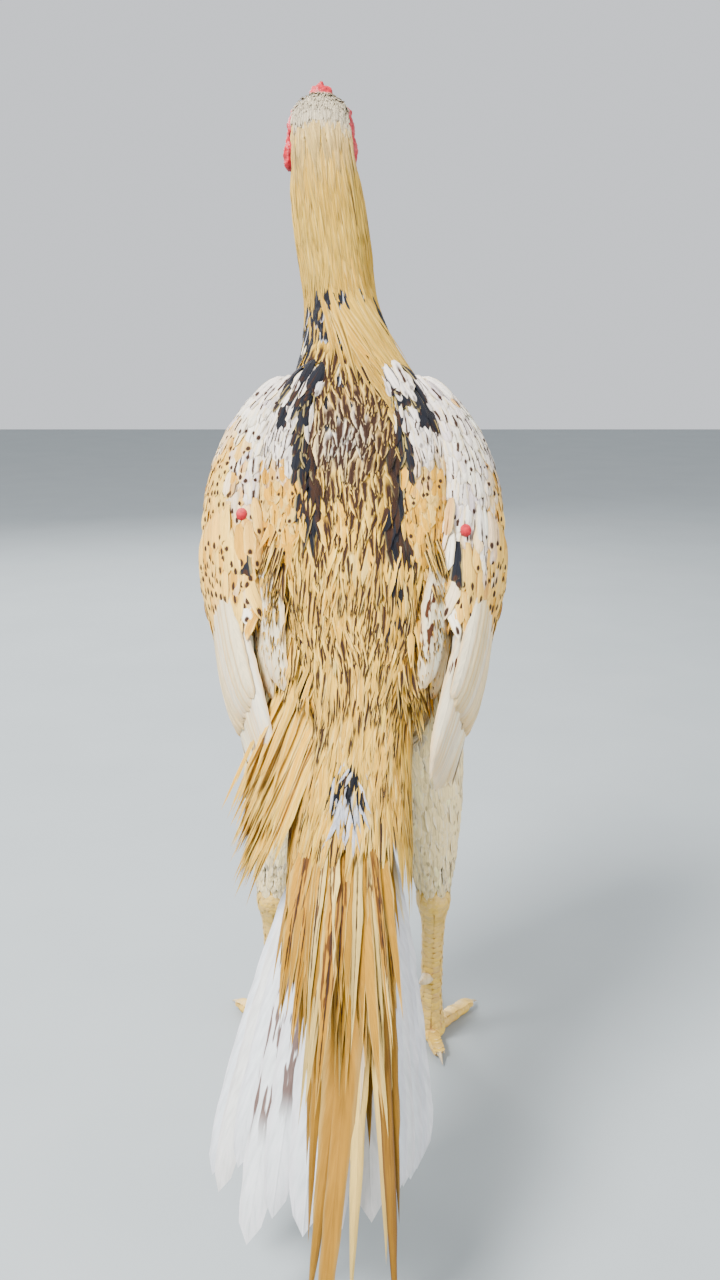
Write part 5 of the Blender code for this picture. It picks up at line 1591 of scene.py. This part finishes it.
def eyes():
    """Eyeballs with the distance from the middle of the gaze on every vertex, in radians."""
    finish = eye_finish()
    for side, letter in LETTERS:
        out = unit(np.array(EYE_AXIS) * [side, 1, 1])
        bm = bmesh.new()
        turn = Vector(out).to_track_quat("Z", "Y").to_matrix().to_4x4()
        shape = Matrix.Translation(Vector(face_point(side, EYE))) @ turn
        bmesh.ops.create_uvsphere(bm, u_segments=64, v_segments=48, radius=EYE_RADIUS, matrix=shape)
        obj = link("eyeball_" + letter, bm)
        places, _ = vertex_rows(obj.data)
        off = np.arccos(np.clip(unit(places - face_point(side, EYE)) @ out, -1, 1))
        note(obj.data, "Off", off)
        soften(obj.data)
        dress(obj, finish, "eye", "eye_" + letter)


# Floor, light and camera


def studio():
    bm = bmesh.new()
    bmesh.ops.create_grid(bm, x_segments=1, y_segments=1, size=6.0)
    floor = link("floor", bm)
    finish = Finish("pale_floor")
    grain = finish.noise(finish.place(), 6.0)
    tone = finish.blend(grain, *FLOOR_TONES)
    floor.data.materials.append(finish.surface(Base_Color=tone, Roughness=0.8))
    world = bpy.context.scene.world or bpy.data.worlds.new("studio")
    bpy.context.scene.world = world
    world.use_nodes = True
    sky = world.node_tree.nodes["Background"]
    sky.inputs["Color"].default_value = (*SKY, 1)
    sky.inputs["Strength"].default_value = 1.0
    for name, place, size, power in LAMPS:
        lamp = bpy.data.lights.new(name, "AREA")
        lamp.size = size
        lamp.energy = power
        holder = stand(name, lamp)
        holder.location = place
        aim = Vector(LIT_POINT) - holder.location
        holder.rotation_euler = aim.to_track_quat("-Z", "Y").to_euler()


def camera():
    """Behind the bird and a little above its back, as the photograph looks at it."""
    lens = bpy.data.cameras.new("camera")
    lens.sensor_width = SENSOR
    lens.lens = SENSOR * FOCAL_SHARE
    lens.clip_start = 0.01
    holder = stand("camera", lens)
    holder.location = CAMERA_PLACE
    holder.rotation_euler = (math.radians(90 - CAMERA_DIP), 0, math.radians(180))
    bpy.context.scene.camera = holder


def main():
    studio()
    camera()
    crown, hackles, breast, back = crown_feathers(), neck_hackles(), breast_feathers(), back_feathers()
    saddle, down, shoulder, wing = saddle_hackles(), rear_down(), shoulder_feathers(), wing_coverts()
    thigh, coverts, loose = thigh_feathers(), tail_coverts(), loose_bunch()
    build_skin([crown, hackles, breast, back, saddle, down, shoulder, wing, thigh, coverts])
    crown.build(FEATHER, "hackle_feather", "head")
    hackles.build(HACKLE_FINISH, "hackle_feather", "neck")
    breast.build(FEATHER, "body_feather", "torso")
    back.build(HACKLE_FINISH, "body_feather", "torso")
    saddle.build(HACKLE_FINISH, "hackle_feather", "saddle")
    loose.build(HACKLE_FINISH, "hackle_feather", "saddle")
    down.build(FEATHER, "body_feather", "saddle")
    shoulder.build(FEATHER, "body_feather", "shoulder_L", "shoulder_R")
    wing.build(FEATHER, "wing_feather", "wing_L", "wing_R")
    thigh.build(FEATHER, "thigh_feather", "thigh_L", "thigh_R")
    coverts.build(QUILL_FINISH, "tail_feather", "tail")
    flight_feathers().build(QUILL_FINISH, "wing_feather", "wing_L", "wing_R")
    tail_fan().build(QUILL_FINISH, "tail_feather", "tail")
    sickle_feathers().build(QUILL_FINISH, "tail_feather", "tail")
    leg_scales().build(scale_finish(), "leg_skin", "shank_L", "shank_R")
    horn = horn_finish()
    claws_and_spurs(horn)
    beak(horn)
    eyes()


main()
